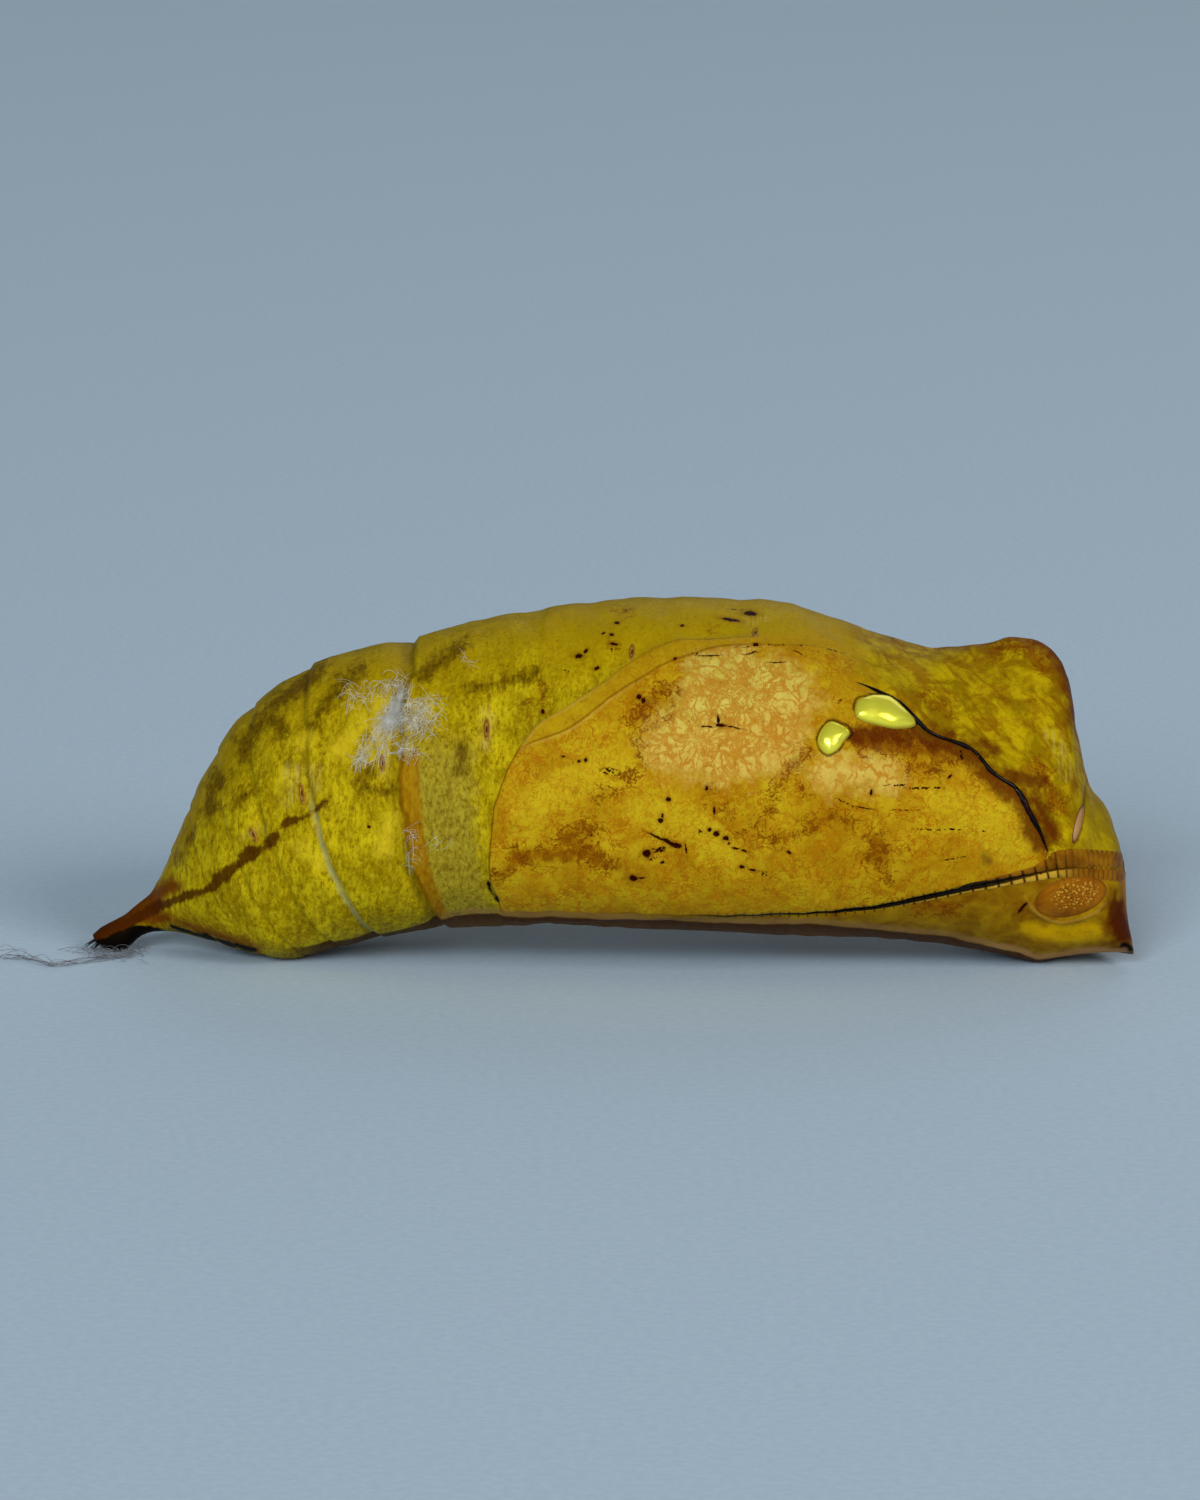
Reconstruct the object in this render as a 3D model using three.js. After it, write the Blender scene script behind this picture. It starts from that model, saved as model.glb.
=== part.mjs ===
// An owl-butterfly chrysalis lying belly down on a flat surface: the pupal shell with its head horns,
// wing cases, abdomen rings and hooked tail, a wisp of silk stuck to its left flank, and the silk
// strands that still hang from the tail hooks.
// Millimetres, +Z up, +X from tail to head. The shell's left flank faces -Y.

import * as THREE from "three";
import { mergeVertices } from "three/addons/utils/BufferGeometryUtils.js";

// ---------------------------------------------------------------- driving dimensions
const LENGTH = 40; // tail hook to horn tip
const HALF = LENGTH / 2;
const RING_STEP = 0.54; // spacing of the shell's rings along its back
const SIDES = 44; // facets round one ring
const FLANK_TILT = THREE.MathUtils.degToRad(10); // lean of the plane that flank outlines are drawn in
const SILK_GAP = 0.1; // clearance between a strand of silk and the shell

// The body's form, tail to head. Each station is one ring:
// back [x, z], belly [x, z], half width, height of the widest point (0 belly to 1 back),
// roundness above and below it (2 is an ellipse, less is keeled), and how far the flank bows tailward.
const STATIONS = [
  [[-HALF, 0.62], [-19.72, 0.2], 0.36, 0.5, 2.0, 2.0, 0],
  [[-19.6, 0.97], [-19.36, 0.0], 0.62, 0.5, 2.0, 2.0, 0],
  [[-19.02, 1.32], [-18.78, 0.0], 0.74, 0.5, 2.0, 2.0, 0],
  [[-18.35, 1.82], [-18.1, 0.6], 0.76, 0.5, 2.0, 2.0, 0],
  [[-17.72, 2.32], [-17.2, 0.82], 1.1, 0.5, 2.0, 2.0, 0],
  [[-17.25, 3.25], [-15.9, 0.66], 1.95, 0.48, 2.0, 2.1, 0.15],
  [[-16.74, 4.5], [-13.9, 0.12], 3.1, 0.47, 2.0, 2.2, 0.4],
  [[-15.66, 7.0], [-12.1, -0.09], 4.4, 0.46, 2.0, 2.3, 0.6],
  [[-14.3, 9.12], [-10.55, 0.36], 5.35, 0.46, 2.0, 2.3, 0.8],
  [[-11.7, 11.05], [-8.58, 0.86], 6.2, 0.46, 2.0, 2.3, 0.9],
  [[-7.7, 12.25], [-6.1, 1.24], 6.7, 0.46, 2.0, 2.3, 1.1],
  [[-2.8, 13.35], [-2.4, 1.4], 6.95, 0.46, 2.0, 2.3, 0.3],
  [[1.1, 13.8], [1.1, 1.32], 7.05, 0.46, 2.0, 2.4, 0],
  [[4.2, 13.8], [4.2, 1.2], 7.1, 0.47, 1.95, 2.4, 0],
  [[6.6, 13.66], [7.0, 1.08], 7.1, 0.49, 1.85, 2.4, 0],
  [[8.8, 12.98], [9.3, 0.98], 6.95, 0.52, 1.75, 2.3, 0],
  [[10.8, 12.35], [11.5, 0.82], 6.6, 0.54, 1.62, 2.2, 0],
  [[12.3, 12.0], [13.2, 0.56], 6.15, 0.54, 1.5, 2.1, 0],
  [[14.0, 12.2], [14.6, 0.3], 5.65, 0.52, 1.42, 2.1, 0],
  [[15.5, 12.5], [15.6, 0.05], 5.2, 0.49, 1.42, 2.1, 0],
  [[16.7, 12.0], [16.3, -0.1], 4.85, 0.47, 1.5, 2.1, 0],
  [[17.32, 10.9], [16.9, 0.06], 4.62, 0.46, 1.65, 2.1, 0],
  [[17.68, 9.0], [17.5, 0.2], 4.42, 0.46, 1.8, 2.2, 0],
  [[18.22, 6.98], [18.1, 0.32], 4.15, 0.46, 2.0, 2.3, 0],
  [[19.02, 5.75], [18.75, 0.38], 3.7, 0.44, 2.1, 2.4, 0],
  [[19.52, 4.1], [19.2, 0.42], 3.15, 0.42, 2.2, 2.4, 0],
  [[19.76, 2.1], [19.55, 0.44], 2.6, 0.42, 2.3, 2.3, 0],
  [[HALF - 0.04, 0.78], [19.86, 0.44], 2.05, 0.45, 2.2, 2.2, 0],
];
const LAST = STATIONS.length - 1;

// Rings of the abdomen, tail to head: the station that each seam lies on, and the depth of its step.
const SEAMS = [
  { station: 5.6, depth: 0.12 },
  { station: 6.5, depth: 0.16 },
  { station: 7.4, depth: 0.18 },
  { station: 8.2, depth: 0.18 },
  { station: 9.0, depth: 0.22 },
  { station: 10.0, depth: 0.3 },
  { station: 11.0, depth: 0.1 },
];
const SEAM_WIDTH = 0.16; // in stations
const SEAM_RISE = 0.35; // share of that width which the step rises over

// Outlines drawn on each flank, in the leaning plane: [along, up].
const WING_OUTLINE = [
  [-4.6, 2.7], [-4.55, 5.6], [-4.0, 7.1], [-2.9, 8.7], [-1.6, 9.6], [0.2, 10.8], [1.8, 11.75],
  [3.4, 12.1], [8.7, 12.1], [9.5, 11.5], [10.7, 9.7], [12.2, 8.3], [13.7, 7.7], [14.6, 6.6],
  [15.4, 6.2], [15.9, 5.3], [16.5, 4.1], [16.6, 3.4], [13.6, 2.6], [11.0, 2.05], [8.0, 1.7],
  [3.0, 1.6], [-4.4, 1.6],
];
const WING_LIFT = 0.28;
const WING_EDGE = 0.4; // half the width that the lift rises over
const SHOULDER_SEAM = [
  [9.45, 10.45], [10.7, 9.75], [11.8, 8.85], [13.3, 8.1], [14.3, 7.2], [15.4, 6.45], [15.9, 5.35], [16.45, 4.3],
];
const SHOULDER_RIDGE = { lift: 0.16, width: 0.4 };
const GOLD_SPOTS = [
  { at: [10.45, 9.4], half: [1.25, 0.58], turn: -16, lift: 0.42 },
  { at: [8.35, 8.42], half: [0.56, 0.68], turn: -18, lift: 0.34 },
];
const EYE = { at: [17.6, 2.35], half: [1.5, 0.85], turn: 17, lift: 0.3 };
const ANTENNA = [
  [19.6, 3.3], [18.3, 3.55], [17.0, 3.3], [15.6, 2.95], [13.6, 2.5], [11.0, 1.95], [8.0, 1.6], [4.0, 1.45],
];
const ANTENNA_RIDGE = { lift: 0.14, width: 0.42 };
const HORNS = { apart: 3.6, notch: 1.6, from: 18.3, height: 3.4 }; // the two points of the brow

// Silk: the wisp lies on the left flank round this station and ring angle (0 back, 180 belly).
const WISP = { station: 9.93, halfStations: 0.4, angle: 55, halfAngle: 20, thickness: 0.32 };
const TAIL_SILK = [
  [-18.3, -1.0, 0.14], [-19.2, -1.75, 0.12], [-20.3, -2.6, 0.12], [-21.2, -3.4, 0.12], [-21.9, -2.6, 0.12],
  [-22.6, -1.9, 0.12], [-23.4, -2.2, 0.12],
];
const TAIL_SILK_RADIUS = 0.11;

const COLOURS = { shell: 0xb89a1c, silk: 0xd9d8d2 };

// ---------------------------------------------------------------- the shell's form
function spline(a, b, c, d, t) {
  return 0.5 * (2 * b + (c - a) * t + (2 * a - 5 * b + 4 * c - d) * t * t + (3 * b - a - 3 * c + d) * t ** 3);
}

// The station values at a fractional station number, each run smoothly through the table.
function stationAt(s) {
  const i = Math.min(Math.floor(s), LAST - 1);
  const rows = [i - 1, i, i + 1, i + 2].map((k) => STATIONS[THREE.MathUtils.clamp(k, 0, LAST)].flat());
  return rows[0].map((_, column) => spline(...rows.map((row) => row[column]), s - i));
}

// A point of the plain form: s is the station, angle runs from 0 at the back to PI at the belly.
function formPoint(s, angle, side) {
  const [backX, backZ, bellyX, bellyZ, halfWidth, widest, above, below, bow] = stationAt(s);
  const c = Math.cos(angle);
  const roundness = 2 / (c >= 0 ? above : below);
  const across = halfWidth * Math.abs(Math.sin(angle)) ** roundness;
  const reach = Math.abs(c) ** roundness;
  const height = c >= 0 ? widest + (1 - widest) * reach : widest * (1 - reach);
  const flank = (across / Math.max(halfWidth, 1e-6)) ** 2;
  const x = bellyX + (backX - bellyX) * height - bow * flank;
  return new THREE.Vector3(x, side * across, bellyZ + (backZ - bellyZ) * height);
}

function formNormal(s, angle, side) {
  const ds = 0.02;
  const da = 0.01;
  const low = Math.max(s - ds, 0);
  const high = Math.min(s + ds, LAST);
  const turn = THREE.MathUtils.clamp(angle, da * 2, Math.PI - da * 2);
  const along = formPoint(high, turn, side).sub(formPoint(low, turn, side));
  const round = formPoint(s, turn + da, side).sub(formPoint(s, turn - da, side));
  return along.cross(round).multiplyScalar(side).normalize();
}

// ---------------------------------------------------------------- outlines on the flanks
function drawn(point) {
  const up = point.z * Math.cos(FLANK_TILT) - Math.abs(point.y) * Math.sin(FLANK_TILT);
  return [point.x, up];
}

function distanceToSegment([x, y], [ax, ay], [bx, by]) {
  const span = (bx - ax) ** 2 + (by - ay) ** 2;
  const t = THREE.MathUtils.clamp(((x - ax) * (bx - ax) + (y - ay) * (by - ay)) / span, 0, 1);
  return Math.hypot(x - ax - t * (bx - ax), y - ay - t * (by - ay));
}

function distanceToLine(at, line) {
  return Math.min(...line.slice(1).map((end, i) => distanceToSegment(at, line[i], end)));
}

// How far a point lies inside a closed outline: negative outside it.
function depthInside([x, y], outline) {
  let inside = false;
  outline.forEach(([ax, ay], i) => {
    const [bx, by] = outline[(i + 1) % outline.length];
    if (ay > y !== by > y && x < ax + ((y - ay) / (by - ay)) * (bx - ax)) inside = !inside;
  });
  const away = distanceToLine([x, y], [...outline, outline[0]]);
  return inside ? away : -away;
}

function dome([x, y], { at, half, turn, lift }) {
  const a = THREE.MathUtils.degToRad(turn);
  const along = ((x - at[0]) * Math.cos(a) + (y - at[1]) * Math.sin(a)) / half[0];
  const across = (-(x - at[0]) * Math.sin(a) + (y - at[1]) * Math.cos(a)) / half[1];
  const r2 = along ** 2 + across ** 2;
  return r2 < 1 ? lift * Math.sqrt(1 - r2) : 0;
}

function ridge(distance, { lift, width }) {
  return lift * Math.exp(-((distance / width) ** 2));
}

// Each abdomen ring tucks under the ring ahead of it: a sharp step that fades tailward.
function seamStep(s) {
  return SEAMS.reduce((sum, seam) => {
    const behind = (seam.station - s) / SEAM_WIDTH;
    const share = behind > 0 ? Math.exp(-1.4 * behind) : Math.max(0, 1 + behind / SEAM_RISE);
    return sum - seam.depth * share;
  }, 0);
}

function relief(s, point, normal) {
  const at = drawn(point);
  const onFlank = THREE.MathUtils.smoothstep(Math.abs(normal.y) - normal.z * Math.tan(FLANK_TILT), 0.02, 0.2);
  const wing = THREE.MathUtils.smoothstep(depthInside(at, WING_OUTLINE), -WING_EDGE, WING_EDGE);
  const domes = [...GOLD_SPOTS, EYE].reduce((sum, form) => sum + dome(at, form), 0);
  const ridges =
    ridge(distanceToLine(at, SHOULDER_SEAM), SHOULDER_RIDGE) + ridge(distanceToLine(at, ANTENNA), ANTENNA_RIDGE);
  return seamStep(s) * (1 - wing) + onFlank * (wing * WING_LIFT + domes + ridges);
}

// The two horns are what is left when the middle of the brow is drawn back.
function drawHorns(point) {
  const forward = THREE.MathUtils.smoothstep(point.x, HORNS.from, HALF);
  const low = 1 - THREE.MathUtils.smoothstep(point.z, 0.4, HORNS.height);
  const middle = Math.max(0, 1 - (2 * Math.abs(point.y)) / HORNS.apart);
  point.x -= HORNS.notch * middle * forward * low;
  return point;
}

// A point of the finished shell, raised by `lift` off its surface.
function shellPoint(s, angle, side, lift = 0) {
  const point = formPoint(s, angle, side);
  const normal = formNormal(s, angle, side);
  point.addScaledVector(normal, relief(s, point, normal) + lift);
  drawHorns(point);
  point.z = Math.max(point.z, 0);
  return point;
}

// ---------------------------------------------------------------- meshes
// Stations of the rings, spaced evenly along the back.
function ringStations() {
  const fine = Array.from({ length: LAST * 40 + 1 }, (_, i) => i / 40);
  const travelled = [0];
  fine.slice(1).forEach((s, i) => {
    const step = formPoint(s, 0, 1).distanceTo(formPoint(fine[i], 0, 1));
    const under = formPoint(s, Math.PI, 1).distanceTo(formPoint(fine[i], Math.PI, 1));
    travelled.push(travelled[i] + Math.max(step, under * 0.8));
  });
  const count = Math.round(travelled.at(-1) / RING_STEP);
  const even = Array.from({ length: count }, (_, k) => {
    const goal = (travelled.at(-1) * k) / count;
    const i = Math.max(1, travelled.findIndex((d) => d >= goal));
    const share = (goal - travelled[i - 1]) / (travelled[i] - travelled[i - 1]);
    return fine[i - 1] + share * (fine[i] - fine[i - 1]);
  });
  // A ring on each side of every seam keeps its step sharp.
  SEAMS.forEach(({ station }) => {
    const k = even.findIndex((s) => s > station);
    even[k - 1] = station;
    even[k] = station + SEAM_RISE * SEAM_WIDTH;
  });
  return [...even, LAST];
}

function solidFrom(points, faces) {
  const geometry = new THREE.BufferGeometry();
  geometry.setAttribute("position", new THREE.Float32BufferAttribute(points.flatMap((p) => p.toArray()), 3));
  geometry.setIndex(faces.flat());
  const whole = mergeVertices(geometry, 1e-4);
  whole.computeVertexNormals();
  return whole;
}

function shellGeometry() {
  const rings = ringStations();
  const points = rings.flatMap((s) =>
    Array.from({ length: SIDES }, (_, k) => {
      const turn = (2 * Math.PI * k) / SIDES;
      return turn <= Math.PI ? shellPoint(s, turn, -1) : shellPoint(s, 2 * Math.PI - turn, 1);
    }),
  );
  const faces = [];
  for (let r = 0; r < rings.length - 1; r++) {
    for (let k = 0; k < SIDES; k++) {
      const a = r * SIDES + k;
      const b = r * SIDES + ((k + 1) % SIDES);
      faces.push([a, b, b + SIDES], [a, b + SIDES, a + SIDES]);
    }
  }
  [0, rings.length - 1].forEach((r, end) => {
    const ring = points.slice(r * SIDES, (r + 1) * SIDES);
    const middle = ring.reduce((sum, p) => sum.add(p), new THREE.Vector3()).divideScalar(SIDES);
    const hub = points.push(middle) - 1;
    for (let k = 0; k < SIDES; k++) {
      const edge = [r * SIDES + k, r * SIDES + ((k + 1) % SIDES)];
      faces.push(end ? [edge[0], edge[1], hub] : [edge[1], edge[0], hub]);
    }
  });
  return solidFrom(points, faces);
}

// A pad with a ragged outline that follows the flank: thick in the middle, thin at its rim.
function wispGeometry() {
  const spokes = 20;
  const hoops = 4;
  const layer = (top) => {
    const at = (radius, turn) => {
      const ragged = 1 + 0.2 * Math.sin(3 * turn + 1) + 0.12 * Math.sin(5 * turn);
      const s = WISP.station + WISP.halfStations * radius * ragged * Math.cos(turn);
      const angle = WISP.angle + WISP.halfAngle * radius * ragged * (Math.sin(turn) - 0.4 * Math.cos(turn));
      const swell = WISP.thickness * (1 - radius ** 2);
      return shellPoint(s, THREE.MathUtils.degToRad(angle), -1, SILK_GAP + (top ? 0.06 + swell : 0));
    };
    const hoop = (j) => Array.from({ length: spokes }, (_, k) => at(j / hoops, (2 * Math.PI * k) / spokes));
    return [at(0, 0), ...Array.from({ length: hoops }, (_, j) => hoop(j + 1)).flat()];
  };
  const points = [...layer(true), ...layer(false)];
  const under = points.length / 2;
  const faces = [];
  const both = (a, b, c) => faces.push([a, b, c], [under + c, under + b, under + a]);
  for (let k = 0; k < spokes; k++) {
    const next = (k + 1) % spokes;
    both(0, 1 + next, 1 + k);
    for (let j = 0; j < hoops - 1; j++) {
      const [a, b] = [1 + j * spokes + k, 1 + j * spokes + next];
      both(a, b, b + spokes);
      both(a, b + spokes, a + spokes);
    }
    const [a, b] = [1 + (hoops - 1) * spokes + k, 1 + (hoops - 1) * spokes + next];
    faces.push([a, b, under + b], [a, under + b, under + a]);
  }
  return solidFrom(points, faces);
}

function tailSilkGeometry() {
  const path = new THREE.CatmullRomCurve3(TAIL_SILK.map((p) => new THREE.Vector3(...p)));
  const section = new THREE.Shape(
    Array.from({ length: 8 }, (_, k) => {
      const a = (2 * Math.PI * k) / 8;
      return new THREE.Vector2(TAIL_SILK_RADIUS * Math.cos(a), TAIL_SILK_RADIUS * Math.sin(a));
    }),
  );
  return new THREE.ExtrudeGeometry(section, { steps: 24, extrudePath: path, bevelEnabled: false });
}

function piece(name, geometry, color, roughness) {
  const mesh = new THREE.Mesh(geometry, new THREE.MeshStandardMaterial({ color, roughness, metalness: 0 }));
  mesh.name = name;
  return mesh;
}

// ---------------------------------------------------------------- assembly
const chrysalis = new THREE.Group();
chrysalis.add(piece("pupal_shell", shellGeometry(), COLOURS.shell, 0.42));
chrysalis.add(piece("silk_wisp", wispGeometry(), COLOURS.silk, 0.9));
chrysalis.add(piece("tail_silk", tailSilkGeometry(), COLOURS.silk, 0.9));

// The origin is the middle of the part's own box, on the surface that it lies on.
const box = new THREE.Box3().setFromObject(chrysalis);
const middle = box.getCenter(new THREE.Vector3());
chrysalis.position.set(-middle.x, -middle.y, -box.min.z);

export default chrysalis;
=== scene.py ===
"""An owl butterfly chrysalis lying belly down on pale paper.

Sizes are in the chrysalis's own millimetres: +X from the tail hook to the horn tip, +Z up out of its back,
and its left flank towards -Y. Placement carries them into the frame's metres. Outlines and markings are
drawn on a leaning plane beside the left flank, as (along, up), and the right flank mirrors them.
"""

import logging
import math
from dataclasses import dataclass, field
from enum import Enum
from functools import partial, reduce

import bpy
import numpy as np
from mathutils import Matrix, Vector
from mathutils.bvhtree import BVHTree


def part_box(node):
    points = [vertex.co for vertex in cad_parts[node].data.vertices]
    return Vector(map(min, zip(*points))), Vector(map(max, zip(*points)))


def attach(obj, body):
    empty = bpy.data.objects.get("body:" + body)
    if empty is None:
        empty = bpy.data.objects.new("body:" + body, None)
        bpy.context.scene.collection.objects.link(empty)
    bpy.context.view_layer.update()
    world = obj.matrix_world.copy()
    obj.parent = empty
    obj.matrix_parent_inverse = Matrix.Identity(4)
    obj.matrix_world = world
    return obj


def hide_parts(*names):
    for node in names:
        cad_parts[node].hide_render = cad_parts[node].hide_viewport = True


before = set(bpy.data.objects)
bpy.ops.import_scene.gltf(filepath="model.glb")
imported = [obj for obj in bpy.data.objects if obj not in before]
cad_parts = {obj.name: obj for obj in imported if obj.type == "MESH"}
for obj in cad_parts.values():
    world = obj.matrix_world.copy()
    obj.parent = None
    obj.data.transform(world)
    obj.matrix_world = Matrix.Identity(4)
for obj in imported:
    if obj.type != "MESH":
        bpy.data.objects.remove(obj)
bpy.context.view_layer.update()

LOG = logging.getLogger("chrysalis")
MM = 0.001
SHELL_NODE, WISP_NODE, TAIL_SILK_NODE = "pupal_shell", "silk_wisp", "tail_silk"
SHELL_SLOT, SILK_SLOT = "pupal_shell", "silk"
BODY_LENGTH = 40.0  # tail hook to horn tip

Point2 = tuple[float, float]
Point3 = tuple[float, float, float]
Colour = tuple[float, float, float, float]
Faces = list[tuple[int, ...]]
Array = np.ndarray
Material, Piece, Node = bpy.types.Material, bpy.types.Object, bpy.types.Node


# ---------------------------------------------------------------- plain sums
def tint(red: int, green: int, blue: int) -> Colour:
    """Turns a screen colour of 0 to 255 a channel into the linear colour that shaders use.

    Args:
        red, green, blue: The screen colour's channels.

    Returns:
        The linear colour, with an alpha of 1.
    """
    parts = [c / 255 for c in (red, green, blue)]
    return (*(c / 12.92 if c <= 0.04045 else ((c + 0.055) / 1.055) ** 2.4 for c in parts), 1.0)


def smoothstep(value: Array, low: float, high: float) -> Array:
    """Rises smoothly from 0 at `low` to 1 at `high`."""
    t = np.clip((value - low) / (high - low), 0.0, 1.0)
    return t * t * (3 - 2 * t)


def curve_between(a: Array, b: Array, c: Array, d: Array, t: Array) -> Array:
    """Gives the Catmull-Rom curve's place at `t` of the way from b to c, with a before and d after them."""
    return 0.5 * (2 * b + (c - a) * t + (2 * a - 5 * b + 4 * c - d) * t**2 + (3 * b - a - 3 * c + d) * t**3)


def smooth_line(points: list[Point2] | Array, per: int = 5) -> Array:
    """Runs a Catmull-Rom curve through points of any dimension.

    Args:
        points: The points that the curve passes.
        per: How many steps it takes between two of them.

    Returns:
        The points of the curve, one row each.
    """
    rows = np.asarray(points, float)
    ends = np.vstack([2 * rows[0] - rows[1], rows, 2 * rows[-1] - rows[-2]])
    out = []
    for i in range(len(ends) - 3):
        out += [curve_between(*ends[i : i + 4], t) for t in np.arange(per) / per]
    return np.array([*out, rows[-1]])


def from_line(at: Array, line: Array) -> tuple[Array, Array]:
    """Measures points from a line.

    Args:
        at: Points (..., 2).
        line: The line's points (n, 2).

    Returns:
        Each point's distance, positive on the line's left, and how far along the line its nearest place is.
    """
    best = np.full(at.shape[:-1], 1e9)
    sign, run = np.ones_like(best), np.zeros_like(best)
    travelled = 0.0
    for a, b in zip(line[:-1], line[1:]):
        way = b - a
        length = math.hypot(*way)
        rel = at - a
        t = np.clip((rel @ way) / length**2, 0.0, 1.0)
        away = np.hypot(rel[..., 0] - t * way[0], rel[..., 1] - t * way[1])
        closer = away < best
        best = np.where(closer, away, best)
        sign = np.where(closer, np.sign(way[0] * rel[..., 1] - way[1] * rel[..., 0]), sign)
        run = np.where(closer, travelled + t * length, run)
        travelled += length
    return best * np.where(sign == 0, 1.0, sign), run


def depth_inside(at: Array, outline: Array) -> Array:
    """Says how deep points lie inside a closed outline.

    Args:
        at: Points (..., 2).
        outline: The outline's corners (n, 2).

    Returns:
        The depth, negative outside the outline.
    """
    closed = np.vstack([outline, outline[:1]])
    inside = np.zeros(at.shape[:-1], bool)
    for (ax, ay), (bx, by) in zip(closed[:-1], closed[1:]):
        if ay == by:
            continue
        crosses = (ay > at[..., 1]) != (by > at[..., 1])
        inside ^= crosses & (at[..., 0] < ax + (at[..., 1] - ay) / (by - ay) * (bx - ax))
    away = np.abs(from_line(at, closed)[0])
    return np.where(inside, away, -away)


@dataclass(frozen=True)
class Blot:
    """A mark of one half width along a line, or round a single point."""

    half: float
    line: tuple[Point2, ...]

    def depth(self, at: Array) -> Array:
        """Says how deep points lie inside the mark, negative outside it.

        Args:
            at: Points (..., 2).

        Returns:
            The depths.
        """
        if len(self.line) == 1:
            return self.half - np.hypot(at[..., 0] - self.line[0][0], at[..., 1] - self.line[0][1])
        return self.half - np.abs(from_line(at, smooth_line(self.line, 3))[0])


def deepest(at: Array, blots: tuple[Blot, ...], least: float = -1.5) -> Array:
    """Gives each point's depth in the mark that it is deepest in, and no less than `least`."""
    return np.maximum(np.maximum.reduce([blot.depth(at) for blot in blots]), least)


# ---------------------------------------------------------------- where things lie
@dataclass(frozen=True)
class Placement:
    """Carries the chrysalis's own millimetres into the frame's metres."""

    low: Vector
    high: Vector

    @property
    def scale(self) -> float:
        """Metres in one of the body's millimetres."""
        return (self.high.x - self.low.x) / BODY_LENGTH

    def to_frame(self, points: Array) -> Array:
        """Moves points (n, 3) from the body's millimetres to metres in the frame."""
        middle = np.array([(self.low.x + self.high.x) / 2, 0.0, 0.0])
        return points * self.scale + middle


@dataclass(frozen=True)
class DrawingPlane:
    """The leaning plane beside the left flank that outlines are drawn on, as seen by an eye beside it."""

    lean: float = math.radians(10.0)
    reach: float = 250.0  # mm from the eye to the keel plane
    middle: Point2 = (-0.52, 7.85)  # what the eye looks at

    @property
    def ahead(self) -> Array:
        """The way that the eye looks."""
        return np.array([0.0, math.cos(self.lean), -math.sin(self.lean)])

    @property
    def upward(self) -> Array:
        """The drawing's own up."""
        return np.array([0.0, math.sin(self.lean), math.cos(self.lean)])

    @property
    def target(self) -> Array:
        """The point of the keel plane that the eye looks at."""
        return np.array([self.middle[0], 0.0, self.middle[1] / math.cos(self.lean)])

    @property
    def eye(self) -> Array:
        """The point that the flank is drawn from."""
        return self.target - self.reach * self.ahead

    def drawn(self, points: Array) -> Array:
        """Finds where points of the left flank lie on the drawing.

        Args:
            points: The points (..., 3).

        Returns:
            Their places (..., 2).
        """
        rel = points - self.eye
        shrink = self.reach / (rel @ self.ahead)
        along, up = rel[..., 0] * shrink, (rel @ self.upward) * shrink
        return np.stack([along + self.middle[0], up + self.middle[1]], -1)

    def sight(self, along: float, up: float) -> Vector:
        """Points from the eye at a place on the drawing.

        Args:
            along, up: The place.

        Returns:
            The direction.
        """
        right = np.array([1.0, 0.0, 0.0])
        way = self.reach * self.ahead + (along - self.middle[0]) * right + (up - self.middle[1]) * self.upward
        return Vector(way).normalized()


# ---------------------------------------------------------------- meshes
@dataclass
class MeshMaker:
    """Gathers points, faces and values of a piece, and makes its object."""

    name: str
    place: Placement
    points: list[Array] = field(default_factory=list)
    faces: Faces = field(default_factory=list)
    values: dict[str, list[Array]] = field(default_factory=dict)
    count: int = 0

    def add(self, points: Array, faces: Faces, **values: Array) -> None:
        """Adds a part to the piece.

        Args:
            points: Its points (n, 3) in millimetres.
            faces: Its faces, by the numbers of its own points.
            **values: One number a point for each name that the material reads.
        """
        self.points.append(points)
        self.faces.extend(tuple(i + self.count for i in face) for face in faces)
        for name, value in values.items():
            self.values.setdefault(name, []).append(np.asarray(value, float).ravel())
        self.count += len(points)

    def add_both(self, points: Array, faces: Faces, **values: Array) -> None:
        """Adds a part of the left flank and its mirror on the right flank."""
        self.add(points, faces, **values)
        self.add(points * [1.0, -1.0, 1.0], [face[::-1] for face in faces], **values)

    def make(self, material: Material, slot: str, replaced: str | None = None) -> Piece:
        """Makes the piece's object, smooth and in the frame's metres, parents it to the root, and hides the plain
        solid that it replaces.

        Args:
            material: Its material.
            slot: Not used.
            replaced: The node whose plain solid it replaces, if any.

        Returns:
            The object.
        """
        mesh = bpy.data.meshes.new(self.name)
        mesh.from_pydata(self.place.to_frame(np.vstack(self.points)).tolist(), [], self.faces)
        mesh.shade_smooth()
        for name, parts in self.values.items():
            mesh.attributes.new(name, "FLOAT", "POINT").data.foreach_set("value", np.concatenate(parts))
        mesh.materials.append(material)
        piece = bpy.data.objects.new(self.name, mesh)
        bpy.context.scene.collection.objects.link(piece)
        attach(piece, "root")
        if replaced:
            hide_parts(replaced)
        return piece


def quads(rows: int, columns: int, closed: bool = False, first: int = 0, flip: bool = False) -> Faces:
    """Joins a grid of points, numbered row by row, with four-sided faces.

    Args:
        rows, columns: How many points there are each way.
        closed: Whether each row's end joins its start.
        first: The number of the first point.
        flip: Whether the faces look the other way.

    Returns:
        The faces.
    """
    faces: Faces = []
    for row in range(rows - 1):
        for k in range(columns if closed else columns - 1):
            a, b = first + row * columns + k, first + row * columns + (k + 1) % columns
            faces.append((a, a + columns, b + columns, b) if flip else (a, b, b + columns, a + columns))
    return faces


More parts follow.
